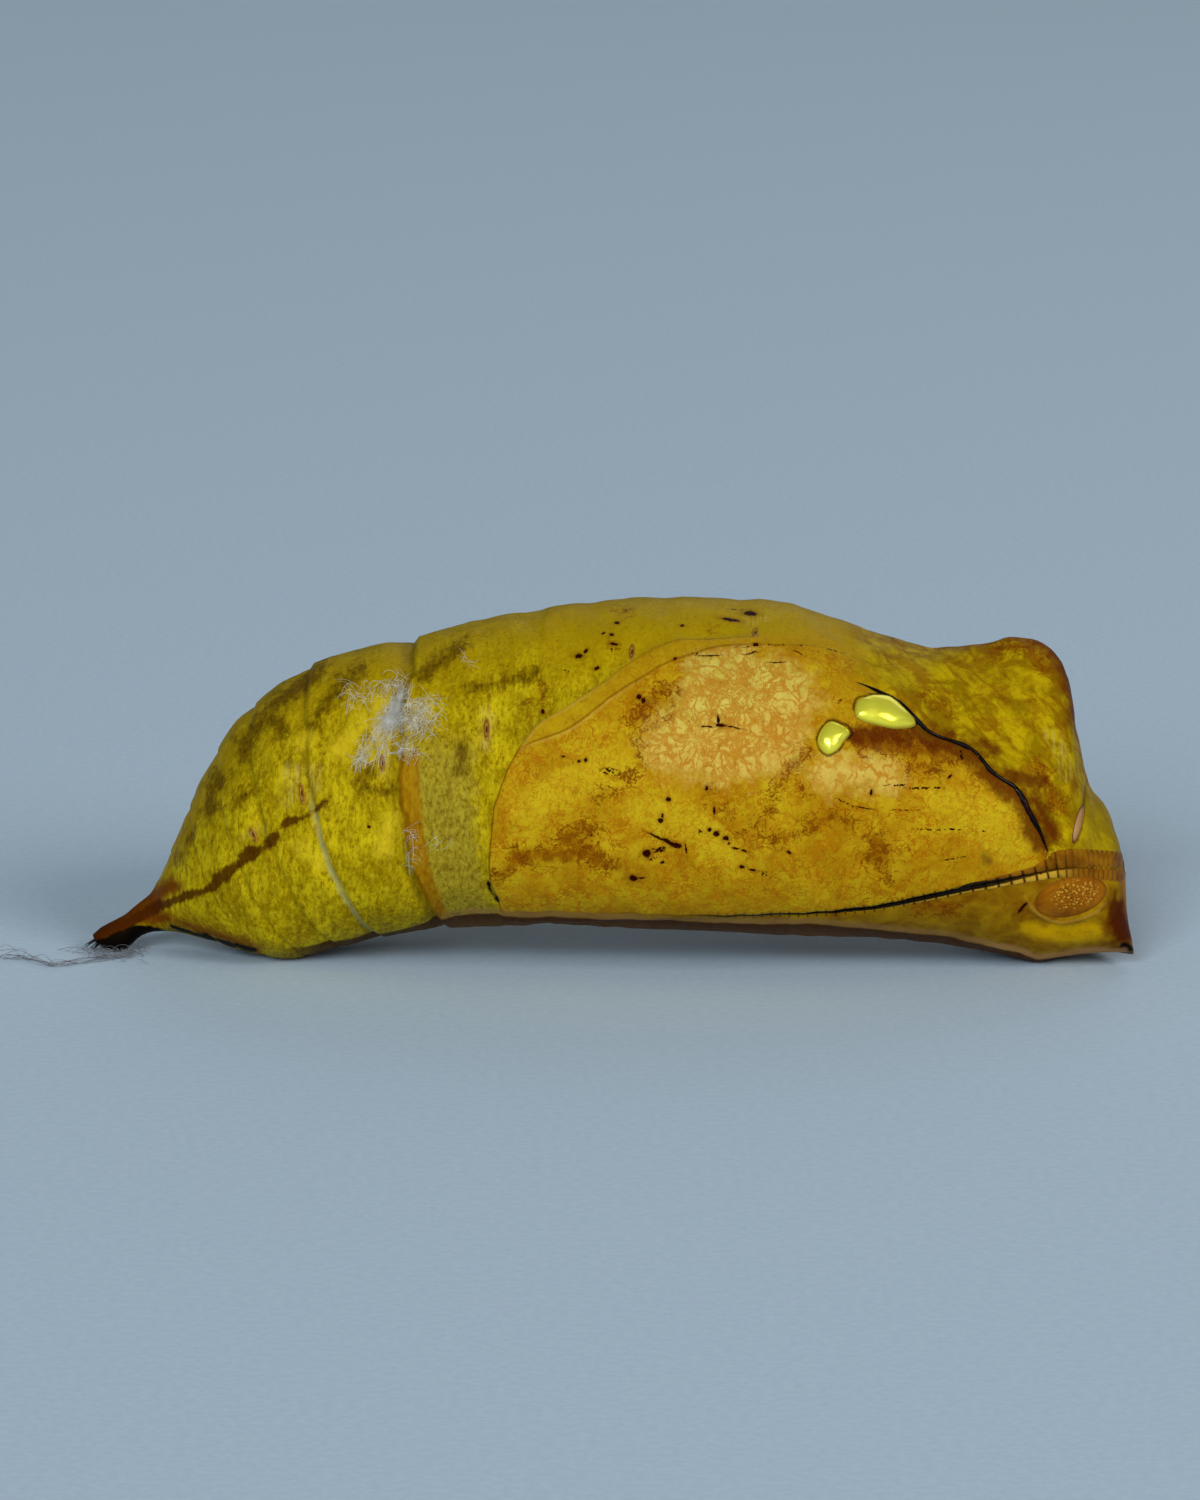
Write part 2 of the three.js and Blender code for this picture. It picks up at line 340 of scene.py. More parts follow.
def tube(path: Array, radii: Array, sides: int = 8) -> tuple[Array, Faces]:
    """Makes a closed tube along a path.

    Args:
        path: The points of its middle (n, 3).
        radii: Its radius at each of them.
        sides: Points round one ring.

    Returns:
        Its points and faces.
    """
    way = np.gradient(path, axis=0)
    way /= np.linalg.norm(way, axis=1, keepdims=True) + 1e-12
    aside = np.cross(way, [0.13, 0.31, 0.94])
    aside /= np.linalg.norm(aside, axis=1, keepdims=True) + 1e-12
    over = np.cross(way, aside)
    turn = 2 * np.pi * np.arange(sides) / sides
    ring = np.cos(turn)[None, :, None] * aside[:, None] + np.sin(turn)[None, :, None] * over[:, None]
    points = (path[:, None] + ring * np.asarray(radii)[:, None, None]).reshape(-1, 3)
    last = (len(path) - 1) * sides
    caps = [tuple(range(sides))[::-1], tuple(range(last, last + sides))]
    return points, quads(len(path), sides, closed=True) + caps


# ---------------------------------------------------------------- the body's form
@dataclass(frozen=True)
class Station:
    """One ring of the body's form, tail to head."""

    back: Point2  # (x, z) on the back
    belly: Point2  # (x, z) on the belly
    half_width: float
    widest: float  # height of the widest point, 0 belly to 1 back
    above: float  # roundness above the widest point: 2 is an ellipse, less is keeled
    below: float  # roundness under it
    bow: float = 0.0  # how far the flank bows tailward

    def row(self) -> list[float]:
        """Lists the ring's numbers."""
        return [*self.back, *self.belly, self.half_width, self.widest, self.above, self.below, self.bow]


@dataclass(frozen=True)
class Seam:
    """The edge of one abdomen ring, which tucks under the ring ahead of it."""

    station: float
    depth: float


STATIONS = (
    Station((-20, 0.62), (-19.72, 0.2), 0.36, 0.5, 2, 2),
    Station((-19.6, 0.97), (-19.36, 0), 0.62, 0.5, 2, 2),
    Station((-19.02, 1.32), (-18.78, 0), 0.74, 0.5, 2, 2),
    Station((-18.35, 1.82), (-18.1, 0.6), 0.76, 0.5, 2, 2),
    Station((-17.72, 2.32), (-17.2, 0.82), 1.1, 0.5, 2, 2),
    Station((-17.25, 3.25), (-15.9, 0.66), 1.95, 0.48, 2, 2.1, 0.15),
    Station((-16.74, 4.5), (-13.9, 0.12), 3.1, 0.47, 2, 2.2, 0.4),
    Station((-15.66, 7), (-12.1, -0.09), 4.4, 0.46, 2, 2.3, 0.6),
    Station((-14.3, 9.12), (-10.55, 0.36), 5.35, 0.46, 2, 2.3, 0.8),
    Station((-11.7, 11.05), (-8.58, 0.86), 6.2, 0.46, 2, 2.3, 0.9),
    Station((-7.7, 12.25), (-6.1, 1.24), 6.7, 0.46, 2, 2.3, 1.1),
    Station((-2.8, 13.35), (-2.4, 1.4), 6.95, 0.46, 2, 2.3, 0.3),
    Station((1.1, 13.8), (1.1, 1.32), 7.05, 0.46, 2, 2.4),
    Station((4.2, 13.8), (4.2, 1.2), 7.1, 0.47, 1.95, 2.4),
    Station((6.6, 13.66), (7, 1.08), 7.1, 0.49, 1.85, 2.4),
    Station((8.8, 12.98), (9.3, 0.98), 6.95, 0.52, 1.75, 2.3),
    Station((10.8, 12.35), (11.5, 0.82), 6.6, 0.54, 1.62, 2.2),
    Station((12.3, 12), (13.2, 0.56), 6.15, 0.54, 1.5, 2.1),
    Station((14, 12.2), (14.6, 0.3), 5.65, 0.52, 1.42, 2.1),
    Station((15.5, 12.5), (15.6, 0.05), 5.2, 0.49, 1.42, 2.1),
    Station((16.7, 12), (16.3, -0.1), 4.85, 0.47, 1.5, 2.1),
    Station((17.32, 10.9), (16.9, 0.06), 4.62, 0.46, 1.65, 2.1),
    Station((17.68, 9), (17.5, 0.2), 4.42, 0.46, 1.8, 2.2),
    Station((18.22, 6.98), (18.1, 0.32), 4.15, 0.46, 2, 2.3),
    Station((19.02, 5.75), (18.75, 0.38), 3.7, 0.44, 2.1, 2.4),
    Station((19.52, 4.1), (19.2, 0.42), 3.15, 0.42, 2.2, 2.4),
    Station((19.76, 2.1), (19.55, 0.44), 2.6, 0.42, 2.3, 2.3),
    Station((19.96, 0.78), (19.86, 0.44), 2.05, 0.45, 2.2, 2.2),
)
SEAMS = (
    Seam(5.6, 0.08), Seam(6.5, 0.1), Seam(7.4, 0.1), Seam(8.2, 0.1), Seam(9, 0.14), Seam(10, 0.24),
    Seam(11, 0.05),
)
SEAM_WIDTH = 0.16  # in stations
SEAM_RISE = 0.35  # share of that width which the step rises over

# Outlines and lines on the drawing of the left flank, in millimetres (along, up).
WING_OUTLINE = np.array([
    (-4.7, 2.72), (-4.78, 3.49), (-4.6, 5.64), (-4.07, 7.13), (-3.66, 7.9), (-3.01, 8.75), (-1.75, 9.53),
    (-0.46, 10.42), (0.72, 11.27), (1.68, 11.81), (2.6, 12.1), (4.4, 12.2), (6.43, 12.18), (8.3, 12.15),
    (9.1, 11.6), (9.35, 10.49), (9.93, 10.26), (10.97, 9.65), (12.12, 8.59), (13.16, 8.21), (13.74, 7.99),
    (14.39, 7.19), (15.39, 6.54), (15.86, 5.67), (16.36, 4.83), (16.68, 4.1), (16.41, 3.3), (14.46, 2.86),
    (12.17, 2.38), (9.34, 1.83), (6.5, 1.62), (3.67, 1.5), (-2, 1.3), (-4.2, 1.3), (-4.42, 2.15),
])
HIND_MARGIN = smooth_line([
    (-4.42, 2.15), (-4.77, 2.72), (-4.78, 3.49), (-4.6, 5.64), (-4.07, 7.13), (-3.01, 8.75), (-1.75, 9.53),
    (-0.46, 10.42), (0.72, 11.27), (1.68, 11.81), (2.6, 12.1), (4.4, 12.2), (6.43, 12.18), (8.65, 12.17),
    (9.5, 11.7),
])
FORE_MARGIN = smooth_line([
    (-4.3, 6.6), (-4, 7.36), (-3.3, 8.02), (-2, 8.5), (-1.3, 8.9), (-0.7, 9.36), (0, 9.93),
    (0.92, 10.5), (1.95, 11.1), (3.02, 11.5), (3.9, 11.79), (6.31, 11.84), (8.04, 11.74), (8.9, 11.5),
    (9.4, 11),
])
SHOULDER = smooth_line([
    (9.3, 10.5), (9.93, 10.26), (10.54, 9.92), (10.97, 9.65), (11.31, 9.31), (11.66, 9.01), (12.12, 8.59),
    (12.62, 8.4), (13.16, 8.21), (13.74, 7.99), (14.08, 7.65), (14.39, 7.19), (14.74, 6.92), (15.09, 6.7),
    (15.39, 6.54), (15.63, 6.16), (15.86, 5.67), (16.13, 5.21), (16.36, 4.83), (16.52, 4.41), (16.68, 4.1),
])
ANTENNA = smooth_line([
    (-4.3, 1.78), (-2.6, 1.8), (0.6, 1.72), (3.67, 1.64), (6.5, 1.64), (7.92, 1.7), (9.34, 1.83),
    (10.75, 2.07), (12.17, 2.38), (13.58, 2.7), (14.46, 2.86), (15.38, 3.06), (16.41, 3.29), (17.1, 3.42),
    (17.68, 3.46), (18.82, 3.46), (19.75, 3.4),
])
PROTHORAX_SEAM = smooth_line([(18.2, 6.9), (18.12, 6.33), (18.05, 5.53), (17.85, 4.7), (17.6, 4.3)])
# How far apart the joints of an antenna lie, by the place along the body.
JOINT_PITCH = np.array([
    (-4.3, 0.36), (5, 0.335), (11, 0.38), (13.5, 0.5), (16, 0.5), (17.2, 0.36), (17.9, 0.2),
    (19.75, 0.17),
])
ANTENNA_RUN = np.concatenate([[0], np.cumsum(np.hypot(*np.diff(ANTENNA, axis=0).T))])
JOINTS = np.concatenate([[0], np.cumsum(np.diff(ANTENNA_RUN) / np.interp(ANTENNA[1:, 0], *JOINT_PITCH.T))])
# The edge under which the belly turns away.
KEEL = np.array([
    (-13.5, 0.09), (-11.95, 0.22), (-10.4, 0.54), (-8.9, 0.78), (-7, 1.21), (-6, 1.52), (-4.4, 1.61),
    (-1.85, 1.59), (0.9, 1.5), (3.4, 1.32), (5.7, 1.26), (7.8, 1.28), (9.95, 1.1), (12.95, 0.82),
    (15.6, 0.22), (16.3, -0.02), (17.2, 0.06), (17.9, 0.2), (19.6, 0.25),
])
EYE_LID = smooth_line([(15.9, 2.2), (16.2, 1.8), (16.7, 1.5), (17.35, 1.42), (18.23, 1.68), (18.87, 2.16)])


@dataclass(frozen=True)
class Horns:
    """The two points of the brow: what is left when its middle is drawn back."""

    apart: float = 3.6
    notch: float = 1.6
    start: float = 18.3  # where along the body they begin
    height: float = 3.4

    def draw(self, points: Array) -> None:
        """Draws back the middle of the brow, in place.

        Args:
            points: The body's points (..., 3).
        """
        forward = smoothstep(points[..., 0], self.start, BODY_LENGTH / 2)
        low = 1 - smoothstep(points[..., 2], 0.4, self.height)
        middle = np.maximum(0.0, 1 - 2 * np.abs(points[..., 1]) / self.apart)
        points[..., 0] -= self.notch * middle * forward * low


@dataclass(frozen=True)
class BodyForm:
    """The plain form that runs smoothly through the stations."""

    stations: tuple[Station, ...] = STATIONS

    @property
    def last(self) -> int:
        """The number of the last station."""
        return len(self.stations) - 1

    def values(self, s: Array) -> Array:
        """Runs the stations' numbers smoothly from one to the next.

        Args:
            s: Stations, with fractions.

        Returns:
            The numbers (..., 9).
        """
        rows = np.array([station.row() for station in self.stations])
        i = np.clip(np.floor(s).astype(int), 0, self.last - 1)
        t = (s - i)[..., None]
        return curve_between(*(rows[np.clip(i + k, 0, self.last)] for k in (-1, 0, 1, 2)), t)

    def point(self, s: Array, turn: Array) -> Array:
        """Gives points of the left flank's form.

        Args:
            s: Stations.
            turn: Angles round the ring, 0 at the back and pi at the belly, of the same shape.

        Returns:
            The points, as (..., 3).
        """
        back_x, back_z, belly_x, belly_z, half, widest, above, below, bow = np.moveaxis(self.values(s), -1, 0)
        c = np.cos(turn)
        power = 2 / np.where(c >= 0, above, below)
        across = half * np.abs(np.sin(turn)) ** power
        reach = np.abs(c) ** power
        height = np.where(c >= 0, widest + (1 - widest) * reach, widest * (1 - reach))
        flank = (across / np.maximum(half, 1e-6)) ** 2
        x = belly_x + (back_x - belly_x) * height - bow * flank
        return np.stack([x, -across, belly_z + (back_z - belly_z) * height], -1)

    def normal(self, s: Array, turn: Array) -> Array:
        """Finds the form's outward normals.

        Args:
            s, turn: The same as for `point`.

        Returns:
            The normals (..., 3).
        """
        ds, da = 0.02, 0.01
        held = np.clip(turn, da * 2, np.pi - da * 2)
        along = self.point(np.minimum(s + ds, self.last), held) - self.point(np.maximum(s - ds, 0), held)
        around = self.point(s, held + da) - self.point(s, held - da)
        out = -np.cross(along, around)
        out /= np.linalg.norm(out, axis=-1, keepdims=True) + 1e-12
        level = (turn < da * 2) | (turn > np.pi - da * 2)
        out[..., 1] = np.where(level, 0.0, out[..., 1])
        return out


# ---------------------------------------------------------------- the shell
class Mark(Enum):
    """Families of colour marks on the shell, by the name of the value that holds their depth."""

    SMUDGE = "smudge"
    STRIPE = "stripe"
    RUST = "rust"
    BLACK = "black"
    FROST = "frost"
    BROWN = "brown"
    GREY = "grey"
    MAROON = "maroon"
    BRIGHT = "bright"
    PALE = "pale"
    FRECKLED = "freckled"


# Each mark's parts: a half width, and the line that it follows.
MARK_ROWS: dict[Mark, tuple[tuple[float | Point2, ...], ...]] = {
    Mark.SMUDGE: (
        (0.2, (-15.5, 5.5), (-15.45, 6), (-15.2, 6.8)), (0.12, (-15.1, 6.4), (-15, 6.8)),
        (0.26, (-14.25, 7.5), (-14.1, 8.1), (-13.6, 8.7), (-13.3, 9.1)),
        (0.2, (-13.3, 9), (-12.85, 8.9), (-12.8, 8.4)),
        (0.26, (-13.1, 9.4), (-12.3, 10.1), (-11.2, 10.8)),
        (0.19, (-11.5, 8.7), (-11.3, 9.2), (-10.7, 9.9), (-10.2, 10.4), (-9.7, 10.95)),
        (0.11, (-12.4, 7.1), (-12.05, 7.7)), (0.1, (-14.35, 5.7), (-14.1, 6.1)),
        (0.13, (-16.35, 4.2), (-16.15, 4.7)), (0.1, (-16.6, 3.5), (-16.55, 3.7)),
        (0.26, (-9.6, 6.4), (-9.4, 7)), (0.16, (-9.1, 6.3), (-8.7, 6.2)),
        (0.2, (-5.85, 7.8), (-5.8, 7.1)), (0.2, (-7.4, 10.6), (-6.7, 11.1), (-5.8, 11.85)),
        (0.14, (-5.5, 10.2), (-4.3, 10.4), (-3.1, 10.85)), (0.24, (10.7, 11.05), (11.1, 10.85)),
        (0.13, (15.85, 8.3), (16.2, 8.05)), (0.12, (14, 10.5), (14.3, 10.3)),
    ),
    Mark.STRIPE: (
        (0.24, (-19.6, 0.66), (-18.6, 1.08), (-17.3, 1.8)),
        (0.16, (-17.2, 1.8), (-16.3, 2.15), (-15.4, 2.45), (-14.9, 2.9), (-14.2, 3.5), (-13.6, 3.85),
         (-13.1, 4.3)),
        (0.1, (-13.1, 4.3), (-12.6, 4.95), (-11.8, 5.2), (-11, 5.8)),
        (0.18, (-16, 2.25), (-15.75, 2.3)), (0.25, (-15.15, 2.7), (-14.8, 3.05)),
        (0.24, (-14.15, 3.6), (-13.9, 3.85)), (0.21, (-13.25, 4.15), (-13, 4.45)),
        (0.17, (-12.6, 4.95), (-12.2, 5.1)),
    ),
    Mark.RUST: (
        (0.62, (-19.8, 0.6), (-18.63, 1.3), (-17.7, 1.95)), (0.36, (-17.7, 1.95), (-16.9, 2.5)),
        (0.32, (-18.4, 1.2), (-17.7, 1.3), (-17.1, 1.3)),
        (0.18, (-17.14, 1.4), (-15.79, 0.85), (-14.6, 0.45), (-13.6, 0.12)),
        (0.5, (19.25, 1.9), (19.45, 1.3), (19.55, 0.9)), (0.2, (19.2, 2.2), (19.25, 2.6)),
        (0.16, (12.4, 11.95), (13.6, 12.15), (14.6, 12.4), (15.8, 12.5)),
        (0.42, (15.9, 12.5), (16.7, 12.2), (17.3, 11.4), (17.6, 10.4), (17.75, 9.4)),
        (0.2, (17.75, 9.4), (17.9, 8.6)),
    ),
    Mark.BLACK: (
        # The first four rows blacken the tail stalk's underside: its dark cuticle and hooks, and painted shadow in
        # the gap beneath it.
        (0.32, (-19.7, 0.08), (-18.9, 0.42), (-18.1, 0.72), (-17.5, 0.56)),
        (0.34, (-19.6, -0.25), (-18.6, 0.1), (-17.9, 0.35)),
        (0.07, (-16.9, 1), (-15.8, 0.66), (-14.6, 0.3), (-13.7, 0.05)),
        (0.24, (-17.5, 0.66), (-16.6, 0.5), (-15.8, 0.26)), (0.17, (19.6, 0.5), (19.8, 0.35), (20, 0.3)),
        (0.08, (-4.76, 2.72), (-4.6, 2.4), (-4.42, 2.15)),
    ),
    Mark.FROST: (
        (1.4, (3.9, 9.6), (4.8, 9.9), (6.2, 9.7)), (1.15, (2.4, 8.2), (3.4, 8), (4.6, 8), (6, 8.2)),
        (0.6, (6.6, 8.6), (7.1, 9.6)), (0.5, (8.2, 7), (9.6, 7.2), (10.4, 7)),
        (0.4, (3.3, 11.1), (5, 11.3)),
    ),
    Mark.BROWN: (
        (0.3, (-4.3, 3.15), (-3.9, 3.5)), (0.44, (-3.7, 3.8), (-2.6, 3.85), (-1.5, 4), (-0.6, 3.8)),
        (0.4, (-1.9, 4.4), (-1.3, 4.9), (-0.9, 4.8)), (0.26, (-0.6, 3.5), (0.2, 3.5)),
        (0.17, (-0.5, 6.1), (-0.35, 6.25), (0.05, 6.4)), (0.22, (0.5, 6.8), (0.55, 6.9)),
        (0.14, (1, 7.2), (1.05, 8.2)), (0.3, (0.7, 8.9), (1.2, 9.4), (1.9, 10.1)),
        (0.08, (2.45, 10.2), (2.2, 9.4), (1.8, 8.9), (1.1, 8.45)),
        (0.24, (7.5, 7.85), (6.7, 7.2), (6.25, 6.4), (6, 5.6), (5.6, 5), (5.3, 4.7)),
        (0.1, (6.9, 6.8), (7.3, 6.4), (7.6, 6.1)), (0.16, (4.8, 4.75), (6, 4.62), (7, 4.7), (7.8, 5)),
        (0.18, (3.65, 6.4), (3.7, 6)), (0.12, (4.4, 5.6), (4.5, 5.2)),
        (0.2, (7.4, 5.1), (8.2, 5.4), (9.2, 5.1)), (0.42, (10.1, 4.4), (10.25, 3.7)),
        (0.2, (9.4, 3.9), (10, 4)), (0.16, (10.5, 4.2), (11.1, 4.1)), (0.2, (10.4, 3.3), (10.6, 3.1)),
        (0.5, (9.4, 8.2), (10.6, 8), (11.6, 7.9), (12.6, 7.8)), (0.34, (11.4, 7.3), (12.4, 7.4)),
        (0.3, (11.7, 1.9), (13.2, 1.9)), (0.1, (-3.3, 9.6), (-3.2, 9)),
        (0.12, (-2.75, 10.3), (-2.72, 9.3)), (0.14, (-0.1, 11.9), (0.05, 11.7)),
        (0.12, (3.7, 12.45), (3.75, 12.3)), (0.14, (0.2, 13.05), (0.45, 13.1)),
        (0.3, (14.6, 11.9), (15.8, 12)), (0.25, (12, 9.9), (12.9, 9.4)),
        (0.3, (16, 11.6), (16.5, 11.2)), (0.28, (16.3, 7.3), (16.7, 6.6), (16.9, 5.8)),
    ),
    Mark.GREY: (
        (0.2, (14.2, 3.95), (14.3, 3.75)), (0.11, (13.2, 1.3), (14, 1.28)),
    ),
    Mark.MAROON: (
        (0.36, (11.6, 8.55), (12.6, 8.2), (13.3, 7.95), (13.8, 7.65)),
        (0.3, (14.1, 7.15), (14.6, 6.7), (15.3, 6.3), (15.7, 5.9)),
        (0.22, (15.2, 7), (15.8, 6.8), (16.3, 6.75)), (0.32, (15.9, 5.3), (16.1, 4.8), (16.45, 4.4)),
        (0.16, (16.1, 6.3), (16.5, 5.3), (16.85, 4.6)), (0.28, (9.3, 8.4), (10.2, 8.45), (11.4, 8.4)),
        (0.14, (13.8, 8.2), (14.5, 7.95)),
    ),
    Mark.BRIGHT: (
        (0.9, (13.9, 5.3), (15, 5.2), (15.2, 4.8)),
        (0.7, (-3.2, 5.6), (-2, 6.2), (-0.8, 6.9), (0.2, 7.3)), (0.3, (-4.4, 2.5), (-3.6, 3)),
        (0.3, (-10.6, 7.8), (-10, 8.4), (-9.6, 9)), (0.4, (-9.1, 8.8), (-8.9, 9.6)),
        (0.36, (-8.9, 3.9), (-8.6, 5)), (0.2, (-12, 4), (-11.2, 3.4)),
        (0.2, (-12, 7.8), (-11.7, 8.3)), (0.3, (15.9, 1.15), (16.6, 0.95)),
        (0.4, (16.9, 1.05), (17.6, 0.95), (18.4, 1)), (0.2, (19.3, 2.35), (19.25, 2.75)),
        # The next row's first blot is painted light on the cheek beside the eye, which turns away from the light.
        (0.24, (19, 1.7), (19.1, 2.1)), (0.14, (18.68, 2.72), (18.75, 2.8)),
        (0.6, (1, 5.6), (2.6, 5.4), (4.4, 3.9)), (0.35, (12.2, 6.1), (13, 6.2)),
        (0.3, (15.1, 8.6), (15.7, 8.2)), (0.25, (6.5, 6.3), (6.6, 5.9)),
    ),
    Mark.PALE: (
        (0.42, (-12.45, 5.9), (-12.3, 6.9)), (0.3, (-11.5, 6.3), (-11.4, 7)),
        (0.2, (-14.1, 4.5), (-13.5, 4.7)), (0.34, (-4.87, 8), (-4.87, 9.2)),
        (0.24, (5.2, 12.85), (5.8, 12.95)), (0.2, (-8.85, 6.9), (-8.8, 7.7)),
        # The last pale blot is a painted sheen, a pinkish streak down the thorax.
        (0.3, (16.75, 8.6), (17.1, 7.8), (17.4, 7)),
    ),
    Mark.FRECKLED: (
        (0.6, (0.6, 8.6), (1.2, 9.5)), (0.35, (-1.4, 11.5), (-1, 11.8)), (0.4, (-0.2, 11.9), (0.1, 12.6)),
        (0.35, (-0.5, 7), (0.2, 7)), (0.5, (1.2, 3.9), (2, 4)), (0.4, (3.3, 5.1), (4.2, 4.6)),
        (0.5, (5, 3.5), (6.2, 3.3)), (0.5, (11.4, 7.1), (12.6, 7.2)), (0.4, (4.4, 13.1), (5.4, 13.3)),
        (0.5, (0.1, 13.1), (0.9, 12.9)), (0.5, (-9.7, 6.2), (-8.8, 6.6)), (0.3, (-2.9, 10.6), (-2.7, 9.5)),
        (0.3, (-1.6, 7.4), (-1, 7.5)),
    ),
}
MARKS = {mark: tuple(Blot(half, tuple(line)) for half, *line in rows) for mark, rows in MARK_ROWS.items()}
BIG_SPOT = (
    (9.28, 9.76), (9.58, 9.91), (9.93, 9.99), (10.54, 9.92), (11.04, 9.54), (11.58, 8.9), (10.9, 8.73),
    (10.17, 8.84), (9.48, 9.03), (9.21, 9.3),
)
SMALL_SPOT = (
    (8.21, 8.98), (8.71, 8.87), (9.06, 8.57), (8.83, 8.22), (8.56, 7.88), (8.18, 7.72), (7.84, 8.02),
    (7.83, 8.48),
)
EYE_AT, EYE_HALF, EYE_TURN = (17.55, 2.36), (1.42, 0.74), math.radians(15)


@dataclass
class PupalShell:
    """The whole skin of the pupa: its form, seams, wing cases and the values that its colours read."""

    place: Placement
    plane: DrawingPlane
    form: BodyForm = BodyForm()
    horns: Horns = Horns()
    rings: int = 330
    columns: int = 148  # facets from back to belly on one flank
    wing_lift: float = 0.14
    wing_edge: float = 0.12
    hind_lift: float = 0.025
    seam_crowding: float = 2.4  # extra rings near a seam
    swells: tuple[tuple[float, float, float, float], ...] = (
        (0.045, 1.1, 0.7, 0.4), (0.03, 2.3, 1.9, 2.1), (0.018, 4.3, 3.1, 0.9), (0.012, 6.1, 7.3, 3.3),
    )  # height, and how often along, up and across

    def stations(self) -> Array:
        """Spaces the rings evenly along the body, and closer at the seams.

        Returns:
            The rings' stations.
        """
        fine = np.linspace(0, self.form.last, self.form.last * 60 + 1)
        lines = [self.form.point(fine, np.full_like(fine, turn)) for turn in (0, np.pi / 2, np.pi)]
        steps = np.maximum.reduce([np.linalg.norm(np.diff(line, axis=0), axis=1) for line in lines])
        crowding = sum(np.exp(-(((fine[1:] - seam.station) / 0.14) ** 2)) for seam in SEAMS)
        travelled = np.concatenate([[0], np.cumsum(steps * (1 + self.seam_crowding * crowding))])
        return np.interp(np.linspace(0, travelled[-1], self.rings), travelled, fine)

    def turns(self) -> Array:
        """Spaces the columns from back to belly, closest on the flank.

        Returns:
            The columns' angles.
        """
        fine = np.linspace(0, np.pi, 600)
        weight = 0.75 + 0.5 * np.exp(-(((fine - 1.75) / 0.75) ** 2))
        travelled = np.concatenate([[0], np.cumsum(weight[1:])])
        return np.interp(np.linspace(0, travelled[-1], self.columns + 1), travelled, fine)

    def seam_steps(self, s: Array, edge: Array) -> Array:
        """Steps the abdomen rings: sharp at each seam, and fading tailward.

        Args:
            s: Stations.
            edge: How far the seams wander from their stations.

        Returns:
            The height of the steps, which is negative.
        """
        total = np.zeros_like(s)
        for seam in SEAMS:
            behind = (seam.station + edge - s) / SEAM_WIDTH
            ahead = np.maximum(0, 1 + behind / SEAM_RISE)
            total -= seam.depth * np.where(behind > 0, np.exp(-1.4 * behind), ahead)
        return total

    def surface(self, s: Array, turn: Array) -> tuple[Array, dict[str, Array]]:
        """Makes the left flank's surface.

        Args:
            s: Stations.
            turn: Angles round the ring, of the same shape.

        Returns:
            The points, and the values that the shell's colours read.
        """
        base, normal = self.form.point(s, turn), self.form.normal(s, turn)
        at = self.plane.drawn(base)
        sight = self.plane.eye - base
        facing = np.sum(normal * sight, -1) / np.linalg.norm(sight, axis=-1)
        flank = smoothstep(-normal[..., 1] - normal[..., 2] * math.tan(self.plane.lean), 0.02, 0.2)
        wing = depth_inside(at, WING_OUTLINE)
        lines = FORE_MARGIN, HIND_MARGIN, SHOULDER, PROTHORAX_SEAM, EYE_LID, KEEL
        fore, hind, shoulder, prothorax, lid, keel = (from_line(at, line)[0] for line in lines)
        antenna, run = from_line(at, ANTENNA)
        blend = smoothstep(at[..., 0], 4.5, 8.0) * smoothstep(at[..., 1], 9.0, 11.0)
        on_wing = smoothstep(wing, -self.wing_edge - 0.9 * blend, self.wing_edge + 0.6 * blend)
        on_fore = on_wing * smoothstep(-fore, -0.1, 0.1)
        up = at[..., 1]
        edge = 0.018 * np.sin(up * 2.1 + s) + 0.008 * np.sin(up * 5.3)
        steps = self.seam_steps(s, edge)
        bumps = sum(
            height * np.sin(at[..., 0] * a + 0.7 * np.sin(up * b)) * np.sin(up * b + c + base[..., 1] * 0.3)
            for height, a, b, c in self.swells
        )
        fading = np.exp(-np.maximum(shoulder, 0) / 1.2) * (at[..., 0] > 9.2)
        beyond_shoulder = smoothstep(shoulder, -0.02, 0.14) * fading
        relief = (
            steps * (1 - on_wing)
            + flank * (on_wing * (self.wing_lift - self.hind_lift) + on_fore * self.hind_lift)
            + flank * 0.16 * beyond_shoulder
            - flank * 0.12 * np.exp(-((shoulder / 0.1) ** 2)) * smoothstep(at[..., 0], 9.0, 10.5)
            - flank * 0.1 * np.exp(-((prothorax / 0.09) ** 2))
            + flank * 0.1 * np.exp(-((lid / 0.12) ** 2))
            - flank * 0.1 * np.exp(-((antenna / 0.1) ** 2)) * smoothstep(at[..., 0], 2.0, 9.0)
            + bumps * smoothstep(base[..., 2], 0.2, 1.2)
        )
        points = base + normal * relief[..., None]
        self.horns.draw(points)
        points[..., 2] = np.maximum(points[..., 2], 0.0)
        spots = [depth_inside(at, smooth_loop(outline)) for outline in (BIG_SPOT, SMALL_SPOT)]
        values = {
            "along": at[..., 0], "up": up, "facing": facing, "station": s, "turn": turn,
            "wing_depth": np.clip(wing, -2, 3), "fore_edge": np.clip(fore, -2, 2),
            "shoulder_edge": np.clip(shoulder, -3, 3), "antenna_edge": np.clip(antenna, -2, 2),
            "prothorax_edge": np.clip(prothorax, -2, 2), "step": -steps,
            "joint": np.interp(run, ANTENNA_RUN, JOINTS), "hind_edge": np.clip(hind, -2, 2), "blend": blend,
            "lid_edge": np.clip(lid, -2, 2), "keel_edge": np.clip(keel, -2, 2),
            "spot_edge": np.maximum(*spots),
            **{mark.value: deepest(at, blots) for mark, blots in MARKS.items()},
        }
        return points, values

